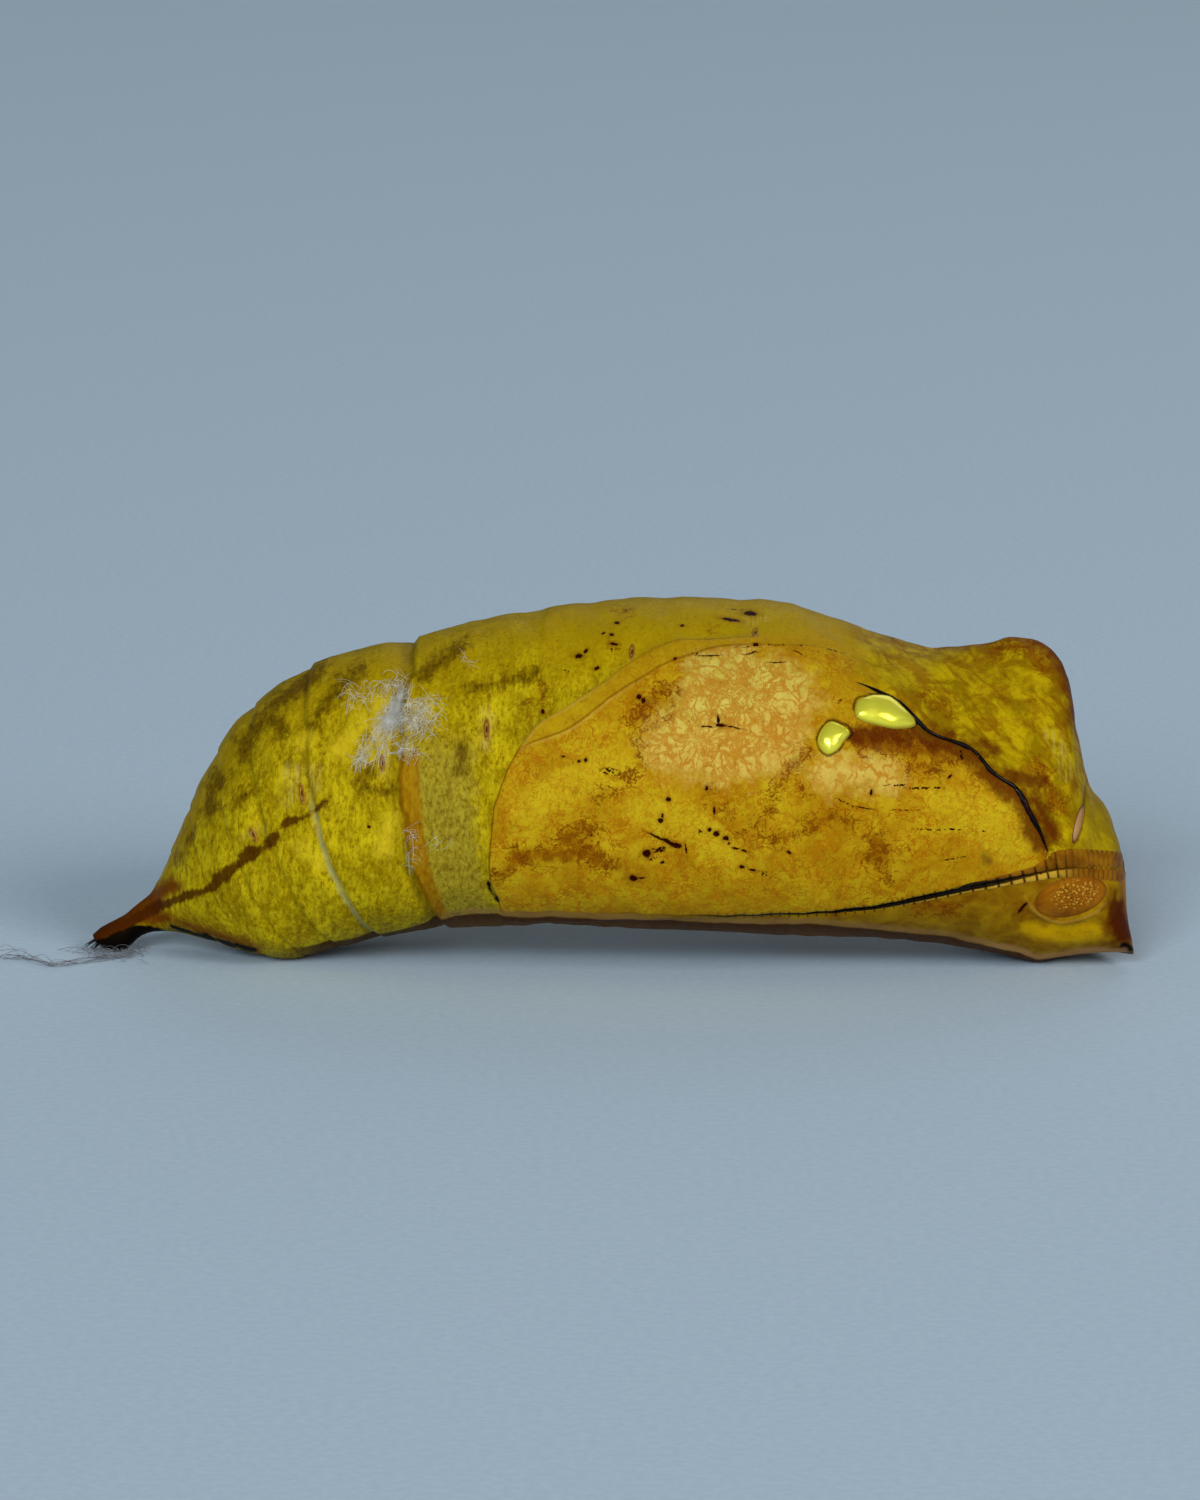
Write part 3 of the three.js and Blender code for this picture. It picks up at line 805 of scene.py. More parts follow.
    def build(self, material: Material) -> Piece:
        """Makes the shell's object, closed at the tail and the brow.

        Args:
            material: What it is dressed in.

        Returns:
            The piece.
        """
        s, turn = np.meshgrid(self.stations(), self.turns(), indexing="ij")
        points, values = self.surface(s, turn)
        columns = [*range(self.columns + 1), *range(self.columns - 1, 0, -1)]
        whole = points[:, columns].copy()
        whole[:, self.columns + 1 :, 1] *= -1
        around = len(columns)
        faces = quads(self.rings, around, closed=True)
        last = (self.rings - 1) * around
        hubs = np.stack([whole[0].mean(0), whole[-1].mean(0)])
        total = self.rings * around
        faces += [((k + 1) % around, k, total) for k in range(around)]
        faces += [(last + k, last + (k + 1) % around, total + 1) for k in range(around)]
        maker = MeshMaker("pupal_cuticle", self.place)
        spread = {
            name: np.concatenate([value[:, columns].ravel(), [value[0].mean(), value[-1].mean()]])
            for name, value in values.items()
        }
        maker.add(np.vstack([whole.reshape(-1, 3), hubs]), faces, **spread)
        return maker.make(material, SHELL_SLOT, SHELL_NODE)


@dataclass
class Landing:
    """Finds where the drawing's sight lines meet the left flank."""

    plane: DrawingPlane
    tree: BVHTree

    @classmethod
    def on(cls, shell: PupalShell) -> "Landing":
        """Prepares the shell's left flank for landing on.

        Args:
            shell: The shell.

        Returns:
            The landing.
        """
        s, turn = np.meshgrid(shell.stations(), shell.turns(), indexing="ij")
        points, _ = shell.surface(s, turn)
        return cls(shell.plane, BVHTree.FromPolygons(points.reshape(-1, 3).tolist(), quads(*s.shape)))

    def at(self, along: float, up: float) -> tuple[Array, Array]:
        """Lands a place of the drawing on the shell, or on the nearest that there is.

        Args:
            along, up: The place.

        Returns:
            The shell's point and outward normal there.
        """
        eye = Vector(self.plane.eye)
        way = self.plane.sight(along, up)
        place, normal, _, _ = self.tree.ray_cast(eye, way)
        if place is None:
            place, normal, _, _ = self.tree.find_nearest(eye + way * self.plane.reach)
        if normal.dot(way) > 0:
            normal = -normal
        return np.array(place), np.array(normal)

    def many(self, places: Array) -> tuple[Array, Array]:
        """Lands many places (n, 2) and gives their points and normals."""
        found = [self.at(*place) for place in places]
        return np.array([point for point, _ in found]), np.array([normal for _, normal in found])


# ---------------------------------------------------------------- parts on the shell
def smooth_loop(points: tuple[Point2, ...], per: int = 5) -> Array:
    """Runs a smooth closed line through points.

    Args:
        points: The points.
        per: How many steps it takes between two of them.

    Returns:
        The line's points, without its repeated end.
    """
    count = len(points)
    wrapped = smooth_line([points[(i - 2) % count] for i in range(count + 4)], per)
    return wrapped[2 * per : (2 + count) * per]


def ellipse(middle: Point2, half: Point2, turn: float, spokes: int) -> Array:
    """Draws an ellipse.

    Args:
        middle, half: Its middle and half sizes.
        turn: The turn of its long axis, in radians.
        spokes: How many points it has.

    Returns:
        Its outline.
    """
    angle = 2 * np.pi * np.arange(spokes) / spokes
    along, up = half[0] * np.cos(angle), half[1] * np.sin(angle)
    c, s = math.cos(turn), math.sin(turn)
    return np.stack([middle[0] + along * c - up * s, middle[1] + along * s + up * c], 1)


@dataclass
class Patch:
    """A closed round patch on the flank: rings from its middle to its rim, which is sunk in the shell."""

    landing: Landing
    rim: Array
    rings: int
    sunk: float = 0.12
    under_share: float = 1.05

    @property
    def shares(self) -> Array:
        """The middle's and each ring's share of the way to the rim. The last ring lies past the rim."""
        return np.append(np.linspace(0, 1, self.rings + 1), self.under_share)

    @property
    def places(self) -> Array:
        """Where the middle and the points of each ring lie on the drawing."""
        hub = self.rim.mean(0)
        return np.vstack([hub, *(hub + share * (self.rim - hub) for share in self.shares[1:])])

    def make(self, profile: Array, grain: float | Array = 0.0) -> tuple[Array, Faces]:
        """Makes the patch.

        Args:
            profile: Height off the shell for the middle, then for each ring.
            grain: Height to add at each point.

        Returns:
            Its points and faces.
        """
        lifts = self.spread(profile - np.where(self.shares > 1, self.sunk, 0))[:-1] + grain
        places = self.places
        points, normals = self.landing.many(places)
        mean = normals.mean(0) / np.linalg.norm(normals.mean(0))
        raised = points + (0.6 * mean + 0.4 * normals) * lifts[:, None]
        spokes = len(self.rim)
        faces: Faces = [(0, 1 + k, 1 + (k + 1) % spokes) for k in range(spokes)]
        faces += quads(self.rings + 1, spokes, closed=True, first=1, flip=True)
        under = len(places)
        last = 1 + self.rings * spokes
        faces += [(last + (k + 1) % spokes, last + k, under) for k in range(spokes)]
        return np.vstack([raised, points[0] - mean * 0.4]), faces

    def spread(self, profile: Array) -> Array:
        """Repeats one number a ring, the middle first, for every point of the patch and its underside."""
        return np.concatenate([[profile[0]], np.repeat(profile[1:], len(self.rim)), [profile[-1]]])


@dataclass
class GoldSpots:
    """The two raised golden patches at each wing base."""

    landing: Landing
    place: Placement
    outlines: tuple[tuple[Point2, ...], ...] = (BIG_SPOT, SMALL_SPOT)
    lifts: tuple[float, ...] = (0.4, 0.36)

    def build(self, material: Material) -> Piece:
        """Makes the four domes as one piece.

        Args:
            material: What it is dressed in.

        Returns:
            The piece.
        """
        maker = MeshMaker("gold_spots", self.place)
        for outline, lift in zip(self.outlines, self.lifts):
            patch = Patch(self.landing, smooth_loop(outline), rings=16)
            points, faces = patch.make(lift * np.sqrt(np.maximum(0, 1 - patch.shares**2.1)))
            maker.add_both(points, faces, rimward=patch.spread(patch.shares))
        return maker.make(material, SHELL_SLOT)


@dataclass
class Eyes:
    """The two eyes: granular swellings in the cheeks."""

    landing: Landing
    place: Placement
    lift: float = 0.2
    grain: float = 0.022
    grains_across: float = 15.0
    pad_at: Point2 = (0.15, 0.1)  # middle of the granular pad, from the eye's own middle
    pad_half: Point2 = (0.95, 0.56)

    def granules(self, places: Array) -> tuple[Array, Array]:
        """Works out the granules of the eye's pad.

        Args:
            places: Places on the drawing (n, 2).

        Returns:
            The granules' height and the pad's share at each place.
        """
        along, up = (places - np.array(EYE_AT)).T
        x, y = along - self.pad_at[0], up - self.pad_at[1] - 0.2 * along
        pad = 1 - smoothstep(np.hypot(x / self.pad_half[0], y / self.pad_half[1]), 0.75, 1.1)
        a, u = self.grains_across * along, self.grains_across * up
        ripple = np.sin(a * 2.1 + 2 * np.sin(u)) * np.sin(u * 2.3 + 1.7 * np.sin(a * 1.3))
        return pad * ripple, pad

    def build(self, material: Material) -> Piece:
        """Makes both eyes as one piece.

        Args:
            material: What it is dressed in.

        Returns:
            The piece.
        """
        maker = MeshMaker("eyes", self.place)
        patch = Patch(self.landing, ellipse(EYE_AT, EYE_HALF, EYE_TURN, 150), rings=46)
        ripple, pad = self.granules(patch.places)
        dome = self.lift * np.maximum(0, 1 - patch.shares**2.2) ** 0.8
        points, faces = patch.make(dome, self.grain * ripple)
        maker.add_both(points, faces, pad=np.append(pad, 0), rimward=patch.spread(patch.shares))
        return maker.make(material, SHELL_SLOT)


@dataclass(frozen=True)
class Slit:
    """One breathing hole: where its slit lies, its half sizes, its lean in degrees and if it is closed."""

    at: Point2
    half: Point2
    lean: float = 0.0
    closed: bool = False


@dataclass
class Spiracles:
    """The slit-like breathing holes on both flanks."""

    landing: Landing
    place: Placement
    slits: tuple[Slit, ...] = (
        Slit((-4.87, 8.6), (0.46, 0.12)), Slit((0.68, 11.6), (0.34, 0.11), -4),
        Slit((5.4, 12.38), (0.2, 0.11), -8), Slit((-8.85, 7.3), (0.36, 0.11), 4),
        Slit((-11.93, 6.1), (0.44, 0.11), 8), Slit((-13.78, 4.5), (0.34, 0.1), 24),
        Slit((17.82, 5.15), (0.78, 0.15), -14, True),
    )
    spokes: int = 28
    lift: float = 0.05
    bed: float = 0.01  # height of the slit's floor
    open_lip: float = 0.3  # where an open slit's lip begins, as a share of the way to its rim
    closed_lip: float = -0.6

    def build(self, material: Material) -> Piece:
        """Makes all the slits, each with a pair of raised lips, as one piece.

        Args:
            material: What it is dressed in.

        Returns:
            The piece.
        """
        maker = MeshMaker("spiracles", self.place)
        for slit in self.slits:
            rim = ellipse(slit.at, slit.half, math.radians(90 + slit.lean), self.spokes)
            patch = Patch(self.landing, rim, rings=9, sunk=0.08)
            inner = self.closed_lip if slit.closed else self.open_lip
            lips = self.lift * np.sin(np.pi * np.clip((patch.shares - inner) / (1 - inner), 0, 1)) + self.bed
            points, faces = patch.make(lips)
            closed = np.full(len(points), float(slit.closed))
            maker.add_both(points, faces, rimward=patch.spread(patch.shares), closed=closed)
        return maker.make(material, SHELL_SLOT)


@dataclass(frozen=True)
class RibRow:
    """One row of an antenna's ribs: its side of the line, its height and its widths."""

    side: float  # 1 above the line, -1 under it
    lift: float
    widths: tuple[Point2, ...]  # by the place along the body; the first says where the row starts


@dataclass
class Antennae:
    """The antenna cases: a row of ribs on each side of the line that runs from the brow to the wing tip."""

    landing: Landing
    place: Placement
    steps: int = 760
    across: int = 8
    rows: tuple[RibRow, ...] = (
        RibRow(-1.0, 0.11, (
            (7.5, 0.04), (9.0, 0.1), (12.0, 0.22), (15.0, 0.27), (16.3, 0.34), (17.3, 0.4), (18.2, 0.5),
            (19.5, 0.55), (19.75, 0.2),
        )),
        RibRow(1.0, 0.1, (
            (12.6, 0.02), (13.8, 0.16), (16.1, 0.3), (16.7, 0.5), (17.0, 0.78), (17.6, 0.84), (19.5, 0.75),
            (19.75, 0.3),
        )),
    )

    def strip(self, row: RibRow) -> tuple[Array, Faces, dict[str, Array]]:
        """Makes one row of ribs.

        Args:
            row: The row.

        Returns:
            Its points, faces and values.
        """
        first = np.interp(row.widths[0][0], ANTENNA[:, 0], ANTENNA_RUN)
        goal = np.linspace(first, ANTENNA_RUN[-1], self.steps)
        middle = np.stack([np.interp(goal, ANTENNA_RUN, ANTENNA[:, i]) for i in (0, 1)], 1)
        along = np.gradient(middle, axis=0)
        along /= np.linalg.norm(along, axis=1, keepdims=True)
        out = np.stack([-along[:, 1], along[:, 0]], 1) * row.side
        width = np.interp(middle[:, 0], *np.array(row.widths).T)
        share = np.linspace(0, 1, self.across)
        places = middle[:, None] + out[:, None] * (width[:, None] * share)[..., None]
        points, normals = self.landing.many(places.reshape(-1, 2))
        joint = np.interp(goal, ANTENNA_RUN, JOINTS)
        bead = np.abs(np.sin(np.pi * joint)) ** 0.55
        head = smoothstep(middle[:, 0], 17.0, 18.2)
        swell = np.sin(np.pi * np.clip(0.12 + 0.88 * share, 0, 1)) ** 0.6
        rise = row.lift * (np.minimum(width, 0.4) / 0.4 * (0.25 + 0.75 * bead) * (1 - 0.45 * head))
        height = rise[:, None] * swell[None] - 0.02
        height[:, -1] = height[0] = height[-1] = -0.08
        points = points + normals * height.reshape(-1)[:, None]
        faces = quads(self.steps, self.across, flip=True)
        if row.side < 0:
            faces = [face[::-1] for face in faces]
        flat = np.ones_like(height)
        values = {
            "bead": bead[:, None] * flat, "along": middle[:, :1] * flat,
            "row": row.side * flat, "off": width[:, None] * share,
        }
        return points, faces, values

    def build(self, material: Material) -> Piece:
        """Makes both antennae as one piece.

        Args:
            material: What it is dressed in.

        Returns:
            The piece.
        """
        maker = MeshMaker("antennae", self.place)
        for row in self.rows:
            points, faces, values = self.strip(row)
            maker.add_both(points, faces, **values)
        return maker.make(material, SHELL_SLOT)


@dataclass
class ShoulderWelt:
    """The wet black welt in the seam between the thorax and the wing case."""

    landing: Landing
    place: Placement
    evening: int = 5  # steps over which the path is evened out
    radii: tuple[Point2, ...] = (
        (9.3, 0.02), (9.9, 0.05), (10.5, 0.09), (11.0, 0.12), (11.5, 0.1), (12.0, 0.06), (12.6, 0.06),
        (13.4, 0.09), (13.9, 0.05), (14.4, 0.08), (15.0, 0.06), (15.4, 0.08), (15.7, 0.13), (16.1, 0.11),
        (16.5, 0.05), (16.68, 0.02),
    )

    def build(self, material: Material) -> Piece:
        """Makes the welts of both flanks as one piece.

        Args:
            material: What it is dressed in.

        Returns:
            The piece.
        """
        maker = MeshMaker("shoulder_welt", self.place)
        line = smooth_line(SHOULDER[::4], 3)
        points, normals = self.landing.many(line)
        evened = np.ones(self.evening) / self.evening
        inner = slice(self.evening // 2, len(line) - self.evening // 2)
        for values in (points, normals):
            values[inner] = np.stack([np.convolve(values[:, i], evened, "valid") for i in range(3)], 1)
        radii = np.interp(line[:, 0], *np.array(self.radii).T)
        step = np.arange(len(line))
        beads = 1.15 + 0.06 * np.sin(step * 0.41) + 0.08 * np.sin(step * 0.17)
        maker.add_both(*tube(points + normals * (radii * 0.35)[:, None], radii * beads, 12))
        return maker.make(material, SHELL_SLOT)


@dataclass
class TailHooks:
    """The tiny black hooks at the end of the tail stalk, which held the chrysalis in its pad of silk."""

    place: Placement
    count: int = 26
    seed: int = 4
    roots_along: Point2 = (-19.85, -18.7)
    roots_across: Point2 = (-0.42, 0.42)
    roots_up: Point2 = (0.15, 0.4)
    radii: Point2 = (0.045, 0.018)  # at the root and at the tip
    lowest: float = 0.05
    steps: int = 9

    def build(self, material: Material) -> Piece:
        """Makes the hooks as one piece.

        Args:
            material: What it is dressed in.

        Returns:
            The piece.
        """
        maker = MeshMaker("tail_hooks", self.place)
        rng = np.random.default_rng(self.seed)
        for _ in range(self.count):
            x, y = rng.uniform(*self.roots_along), rng.uniform(*self.roots_across)
            start = np.array([x, y, rng.uniform(*self.roots_up)])
            way = np.array([-0.35 - 0.35 * rng.random(), 0.7 * y + rng.normal(0, 0.15), -0.1 * rng.random()])
            t = np.linspace(0, 1, self.steps)[:, None]
            arch = np.array([0.12, 0.0, 0.16]) * np.sin(np.pi * t)
            path = start + way * t * 0.8 + arch - np.array([0, 0, 0.1]) * t
            path[:, 2] = np.maximum(path[:, 2], self.lowest)
            maker.add(*tube(path, np.linspace(*self.radii, self.steps), 6))
        return maker.make(material, SHELL_SLOT)


# ---------------------------------------------------------------- silk
@dataclass(frozen=True)
class Tuft:
    """A bunch of silk on the flank's drawing: its middle line, spread, heading and fibre count."""

    line: tuple[Point2, ...]
    spread: float
    heading: float  # degrees
    scatter: float  # degrees
    length: Point2
    height: float
    count: int
    curl: float = 0.5


@dataclass
class SilkWisp:
    """The tuft of white silk stuck across the seam of the left flank."""

    landing: Landing
    place: Placement
    seed: int = 11
    steps: int = 12  # points along a fibre
    radii: Point2 = (0.0028, 0.0056)
    lift: float = 0.03  # least height off the shell
    tufts: tuple[Tuft, ...] = (
        Tuft(((-8.6, 8.8), (-8.4, 9.3), (-8.15, 9.8)), 0.07, 66, 14, (0.7, 1.5), 0.2, 190, 0.2),
        Tuft(((-8.5, 9.0), (-8.9, 8.5), (-9.5, 7.7)), 0.2, 48, 30, (0.6, 1.5), 0.14, 110, 0.2),
        Tuft(((-8.4, 9.2), (-7.9, 9.0), (-7.3, 8.8)), 0.3, 20, 60, (0.6, 1.6), 0.16, 120, 0.32),
        Tuft(((-7.6, 8.6), (-7.1, 9.2), (-6.9, 9.7)), 0.28, 60, 60, (0.5, 1.3), 0.16, 46, 0.4),
        Tuft(((-9.0, 10.0), (-8.5, 10.2), (-8.2, 10.4)), 0.16, 40, 60, (0.4, 1.0), 0.12, 44, 0.4),
        Tuft(((-8.5, 7.9), (-8.0, 7.8), (-7.6, 7.7)), 0.14, -15, 50, (0.5, 1.1), 0.1, 40, 0.4),
        Tuft(((-9.6, 7.6), (-9.8, 7.2)), 0.12, 50, 40, (0.4, 0.9), 0.1, 30, 0.4),
        Tuft(((-8.85, 7.8), (-8.8, 7.1)), 0.06, 95, 18, (0.4, 0.9), 0.08, 16, 0.4),
        Tuft(((-10.15, 9.5), (-10.1, 10.2)), 0.07, 82, 16, (0.6, 1.3), 0.1, 12, 0.5),
        Tuft(((-9.8, 9.6), (-9.5, 9.9)), 0.2, 120, 60, (0.3, 0.8), 0.1, 18, 0.4),
        Tuft(((-7.8, 4.7), (-7.65, 3.9), (-7.75, 3.2)), 0.07, 85, 22, (0.4, 1.0), 0.08, 22, 0.5),
        Tuft(((-7.0, 4.3), (-6.6, 4.3)), 0.06, 10, 20, (0.6, 1.2), 0.08, 5, 0.6),
        Tuft(((-6.2, 11.8), (-5.6, 11.2), (-5.2, 10.9)), 0.05, -42, 14, (0.5, 1.2), 0.12, 6, 0.4),
    )

    def strand(self, rng: np.random.Generator, tuft: Tuft) -> tuple[Array, Faces]:
        """Makes one fibre that lies over the shell.

        Args:
            rng: The source of its random numbers.
            tuft: The tuft that it belongs to.

        Returns:
            Its points and faces.
        """
        line, steps = smooth_line(tuft.line, 6), self.steps
        start = line[rng.integers(len(line))] + rng.normal(0, tuft.spread, 2)
        length = rng.uniform(*tuft.length)
        turns = math.radians(tuft.heading + rng.normal(0, tuft.scatter))
        bend = rng.normal(0, tuft.curl) / steps * 2.2 + rng.normal(0, 0.12 * tuft.curl, steps).cumsum() * 0.5
        headings = turns + np.cumsum(bend)
        way = np.stack([np.cos(headings), np.sin(headings)], 1) * length / steps
        places = start - way.sum(0) / 2 + way.cumsum(0)
        points, normals = self.landing.many(places)
        t = np.linspace(0, 1, steps)
        arch = tuft.height * rng.random() * (0.35 + np.sin(np.pi * t))
        lift = self.lift + arch * (0.7 + 0.3 * np.sin(6 * t + rng.uniform(0, 6)))
        radius = rng.uniform(*self.radii)
        return tube(points + normals * lift[:, None], radius * (1 - 0.6 * np.abs(2 * t - 1) ** 3), 5)

    def build(self, material: Material) -> Piece:
        """Makes all the fibres as one piece, in place of the wisp's plain solid.

        Args:
            material: What it is dressed in.

        Returns:
            The piece.
        """
        maker = MeshMaker("silk_wisp_fibres", self.place)
        rng = np.random.default_rng(self.seed)
        for tuft in self.tufts:
            for _ in range(tuft.count):
                maker.add(*self.strand(rng, tuft))
        return maker.make(material, SILK_SLOT, WISP_NODE)


@dataclass
class TailSilk:
    """The silk that trails over the surface from the tail hooks."""

    place: Placement
    seed: int = 23
    strands: int = 9
    strand_radii: Point2 = (0.007, 0.012)
    wander: float = 0.09
    lowest: float = 0.03
    fluff: int = 90  # loose fibres
    fluff_radii: Point2 = (0.005, 0.009)
    fluff_steps: int = 10
    path: tuple[Point3, ...] = (
        (-18.3, -1.0, 0.14), (-19.2, -1.75, 0.12), (-20.3, -2.6, 0.12), (-21.2, -3.4, 0.12),
        (-21.9, -2.6, 0.12), (-22.6, -1.9, 0.12), (-23.4, -2.2, 0.12),
    )

    def build(self, material: Material) -> Piece:
        """Makes the trailing strands and the fluff round the hooks as one piece.

        Args:
            material: What it is dressed in.

        Returns:
            The piece.
        """
        maker = MeshMaker("tail_silk_strands", self.place)
        rng = np.random.default_rng(self.seed)
        line = smooth_line(np.array(self.path), 6)
        t = np.linspace(0, 1, len(line))
        for _ in range(self.strands):
            wander = sum(
                rng.normal(0, self.wander, 3) * np.sin(wave * t[:, None] * rng.uniform(0.8, 2.4) + rng.uniform(0, 6))
                for wave in (np.pi, 2 * np.pi, 4 * np.pi)
            )
            path = line + wander
            path[:, 2] = np.maximum(path[:, 2], self.lowest)
            maker.add(*tube(path, np.full(len(line), rng.uniform(*self.strand_radii)), 5))
        for _ in range(self.fluff):
            steps = self.fluff_steps
            start = np.array([rng.uniform(-20.2, -18.2), rng.normal(-0.9, 0.5), 0.0])
            heading = rng.uniform(0, 2 * np.pi) + np.cumsum(rng.normal(0, 0.35, steps))
            way = np.stack([np.cos(heading), np.sin(heading), np.zeros(steps)], 1) * rng.uniform(0.06, 0.14)
            path = start + way.cumsum(0)
            arch = np.sin(np.pi * np.linspace(0, 1, steps))
            path[:, 2] = 0.04 + 0.3 * rng.random() * arch + 0.1 * rng.random()
            maker.add(*tube(path, np.full(steps, rng.uniform(*self.fluff_radii)), 4))
        return maker.make(material, SILK_SLOT, TAIL_SILK_NODE)


# ---------------------------------------------------------------- shader nodes
Socket = bpy.types.NodeSocket


@dataclass(frozen=True)
class Signal:
    """A node's output. Sums with signals and numbers add the nodes that work them out."""

    graph: "Graph"
    socket: Socket

    def __add__(self, other: "Value") -> "Signal":
        """Adds a value."""
        return self.graph.math("ADD", self, other)

    def __sub__(self, other: "Value") -> "Signal":
        """Takes a value away."""
        return self.graph.math("SUBTRACT", self, other)

    def __rsub__(self, other: float) -> "Signal":
        """Takes the signal away from a number."""
        return self.graph.math("SUBTRACT", other, self)

    def __mul__(self, other: "Value") -> "Signal":
        """Multiplies by a value."""
        return self.graph.math("MULTIPLY", self, other)

    def __truediv__(self, other: "Value") -> "Signal":
        """Divides by a value."""
        return self.graph.math("DIVIDE", self, other)

    def __abs__(self) -> "Signal":
        """Drops the sign."""
        return self.graph.math("ABSOLUTE", self)

    def rise(self, low: float, high: float, bottom: float = 0.0, top: float = 1.0) -> "Signal":
        """Rises smoothly from `bottom` at `low` to `top` at `high`, or falls where `low` is the larger.

        Args:
            low, high: The values between which it changes.
            bottom, top: What it gives at and beyond them.

        Returns:
            The new signal.
        """
        node = self.graph.node("MapRange", interpolation_type="SMOOTHSTEP", clamp=True)
        ends = (high, low, top, bottom) if low > high else (low, high, bottom, top)
        for socket, number in zip(node.inputs, (self, *ends)):
            self.graph.feed(socket, number)
        return Signal(self.graph, node.outputs[0])

    def line(self, half: float, soft: float = 0.04) -> "Signal":
        """Marks a line where the signal is within `half` of zero."""
        return abs(self).rise(half + soft, half)


Value = Signal | Socket | float
ShellValues = dict[str, Signal]


@dataclass
class Graph:
    """Adds nodes to one tree by plain calls, each of which gives the signal that it made."""

    tree: bpy.types.NodeTree

    def node(self, kind: str, inputs: dict | None = None, **settings: object) -> Node:
        """Adds a node.

        Args:
            kind: The kind of node, such as Mix.
            inputs: What to feed into its inputs, by name or number.
            **settings: Its own settings.

        Returns:
            The node.
        """
        node = self.tree.nodes.new("ShaderNode" + kind)
        for name, value in settings.items():
            setattr(node, name, value)
        for key, value in (inputs or {}).items():
            self.feed(node.inputs[key], value)
        return node

    def feed(self, socket: Socket, value: object) -> None:
        """Links a signal into an input, or sets the input to a plain value.

        Args:
            socket: The input.
            value: The signal, socket, number, vector or colour, or None to leave the input as it is.
        """
        source = value.socket if isinstance(value, Signal) else value
        if isinstance(source, bpy.types.NodeSocket):
            self.tree.links.new(source, socket)
        elif source is not None:
            socket.default_value = source

    def math(self, operation: str, a: Value, b: Value = 0.0, clamp: bool = False) -> Signal:
        """Adds a sum of two values."""
        return Signal(self, self.node("Math", {0: a, 1: b}, operation=operation, use_clamp=clamp).outputs[0])

    def most(self, *values: Value) -> Signal:
        """Gives the largest of values."""
        return reduce(partial(self.math, "MAXIMUM"), values)

    def least(self, *values: Value) -> Signal:
        """Gives the smallest of values."""
        return reduce(partial(self.math, "MINIMUM"), values)

    def mix(self, share: Value, a: object, b: object, blend: str = "MIX") -> Signal:
        """Mixes two colours.

        Args:
            share: How much of the second colour there is, from 0 to 1.
            a, b: The two colours.
            blend: How the second goes over the first.

        Returns:
            The mixed colour.
        """
        node = self.node("Mix", data_type="RGBA", blend_type=blend, clamp_factor=True)
        for number, value in ((0, share), (6, a), (7, b)):
            self.feed(node.inputs[number], value)
        return Signal(self, node.outputs[2])

    def vector(self, x: Value, y: Value, z: Value = 0.0) -> Signal:
        """Joins three values into a vector."""
        return Signal(self, self.node("CombineXYZ", {0: x, 1: y, 2: z}).outputs[0])

    def vectors(self, operation: str, a: object, b: object = None, output: int = 0) -> Signal:
        """Adds a sum of two vectors. Output 1 is its single number, such as a length."""
        return Signal(self, self.node("VectorMath", {0: a, 1: b}, operation=operation).outputs[output])

    def scaled(self, at: object, scale: Value) -> Signal:
        """Scales a vector by one value."""
        return Signal(self, self.node("VectorMath", {0: at, "Scale": scale}, operation="SCALE").outputs[0])

    def turned(self, at: Signal, degrees: float) -> Signal:
        """Counts a place along axes that are turned about Z.

        Args:
            at: The place.
            degrees: How far they are turned.

        Returns:
            The place in them, flat.
        """
        sine, cosine = math.sin(math.radians(degrees)), math.cos(math.radians(degrees))
        x = self.vectors("DOT_PRODUCT", at, (cosine, sine, 0.0), output=1)
        y = self.vectors("DOT_PRODUCT", at, (-sine, cosine, 0.0), output=1)
        return self.vector(x, y)

    def ridges(self, at: Signal, scale: float, half: float) -> Signal:
        """Draws thin branching lines where noise is within `half` of its middle."""
        return abs(self.noise(at, scale, 4.0, 0.62) - 0.5).rise(half, half * 0.25)

    def noise(
        self, at: Signal, scale: float, detail: float = 3.0, roughness: float = 0.55, twist: float = 0.0
    ) -> Signal:
        """Adds noise of 0 to 1.

        Args:
            at: Where it is read.
            scale: How fine it is.
            detail: How many finer noises it adds.
            roughness: How strong they are.
            twist: How far it is pulled about.

        Returns:
            The noise.
        """
        fed = {"Vector": at, "Scale": scale, "Detail": detail, "Roughness": roughness, "Distortion": twist}
        return Signal(self, self.node("TexNoise", fed, noise_dimensions="3D").outputs["Fac"])

    def stir(self, at: Signal, scale: float, reach: float, detail: float = 2.0) -> Signal:
        """Moves a place about by noise, by up to about half of `reach`.

        Args:
            at: The place.
            scale: How fine the noise is.
            reach: How strong it is.
            detail: How many finer noises it adds.

        Returns:
            The moved place.
        """
        node = self.node("TexNoise", {"Vector": at, "Scale": scale, "Detail": detail}, noise_dimensions="3D")
        centred = self.vectors("SUBTRACT", node.outputs["Color"], (0.5, 0.5, 0.5))
        return self.vectors("ADD", at, self.vectors("MULTIPLY", centred, (reach,) * 3))

    def cells(self, at: Signal, scale: float, feature: str = "DISTANCE_TO_EDGE") -> Signal:
        """Adds a cell pattern.

        Args:
            at: Where it is read.
            scale: How fine it is.
            feature: What its distance is measured to.

        Returns:
            That distance.
        """
        node = self.node("TexVoronoi", feature=feature, voronoi_dimensions="3D")
        self.feed(node.inputs["Vector"], at)
        self.feed(node.inputs["Scale"], scale)
        return Signal(self, node.outputs["Distance"])

    def value(self, name: str) -> Signal:
        """Reads one of the mesh's own values."""
        node = self.node("Attribute", attribute_type="GEOMETRY", attribute_name=name)
        return Signal(self, node.outputs["Fac"])

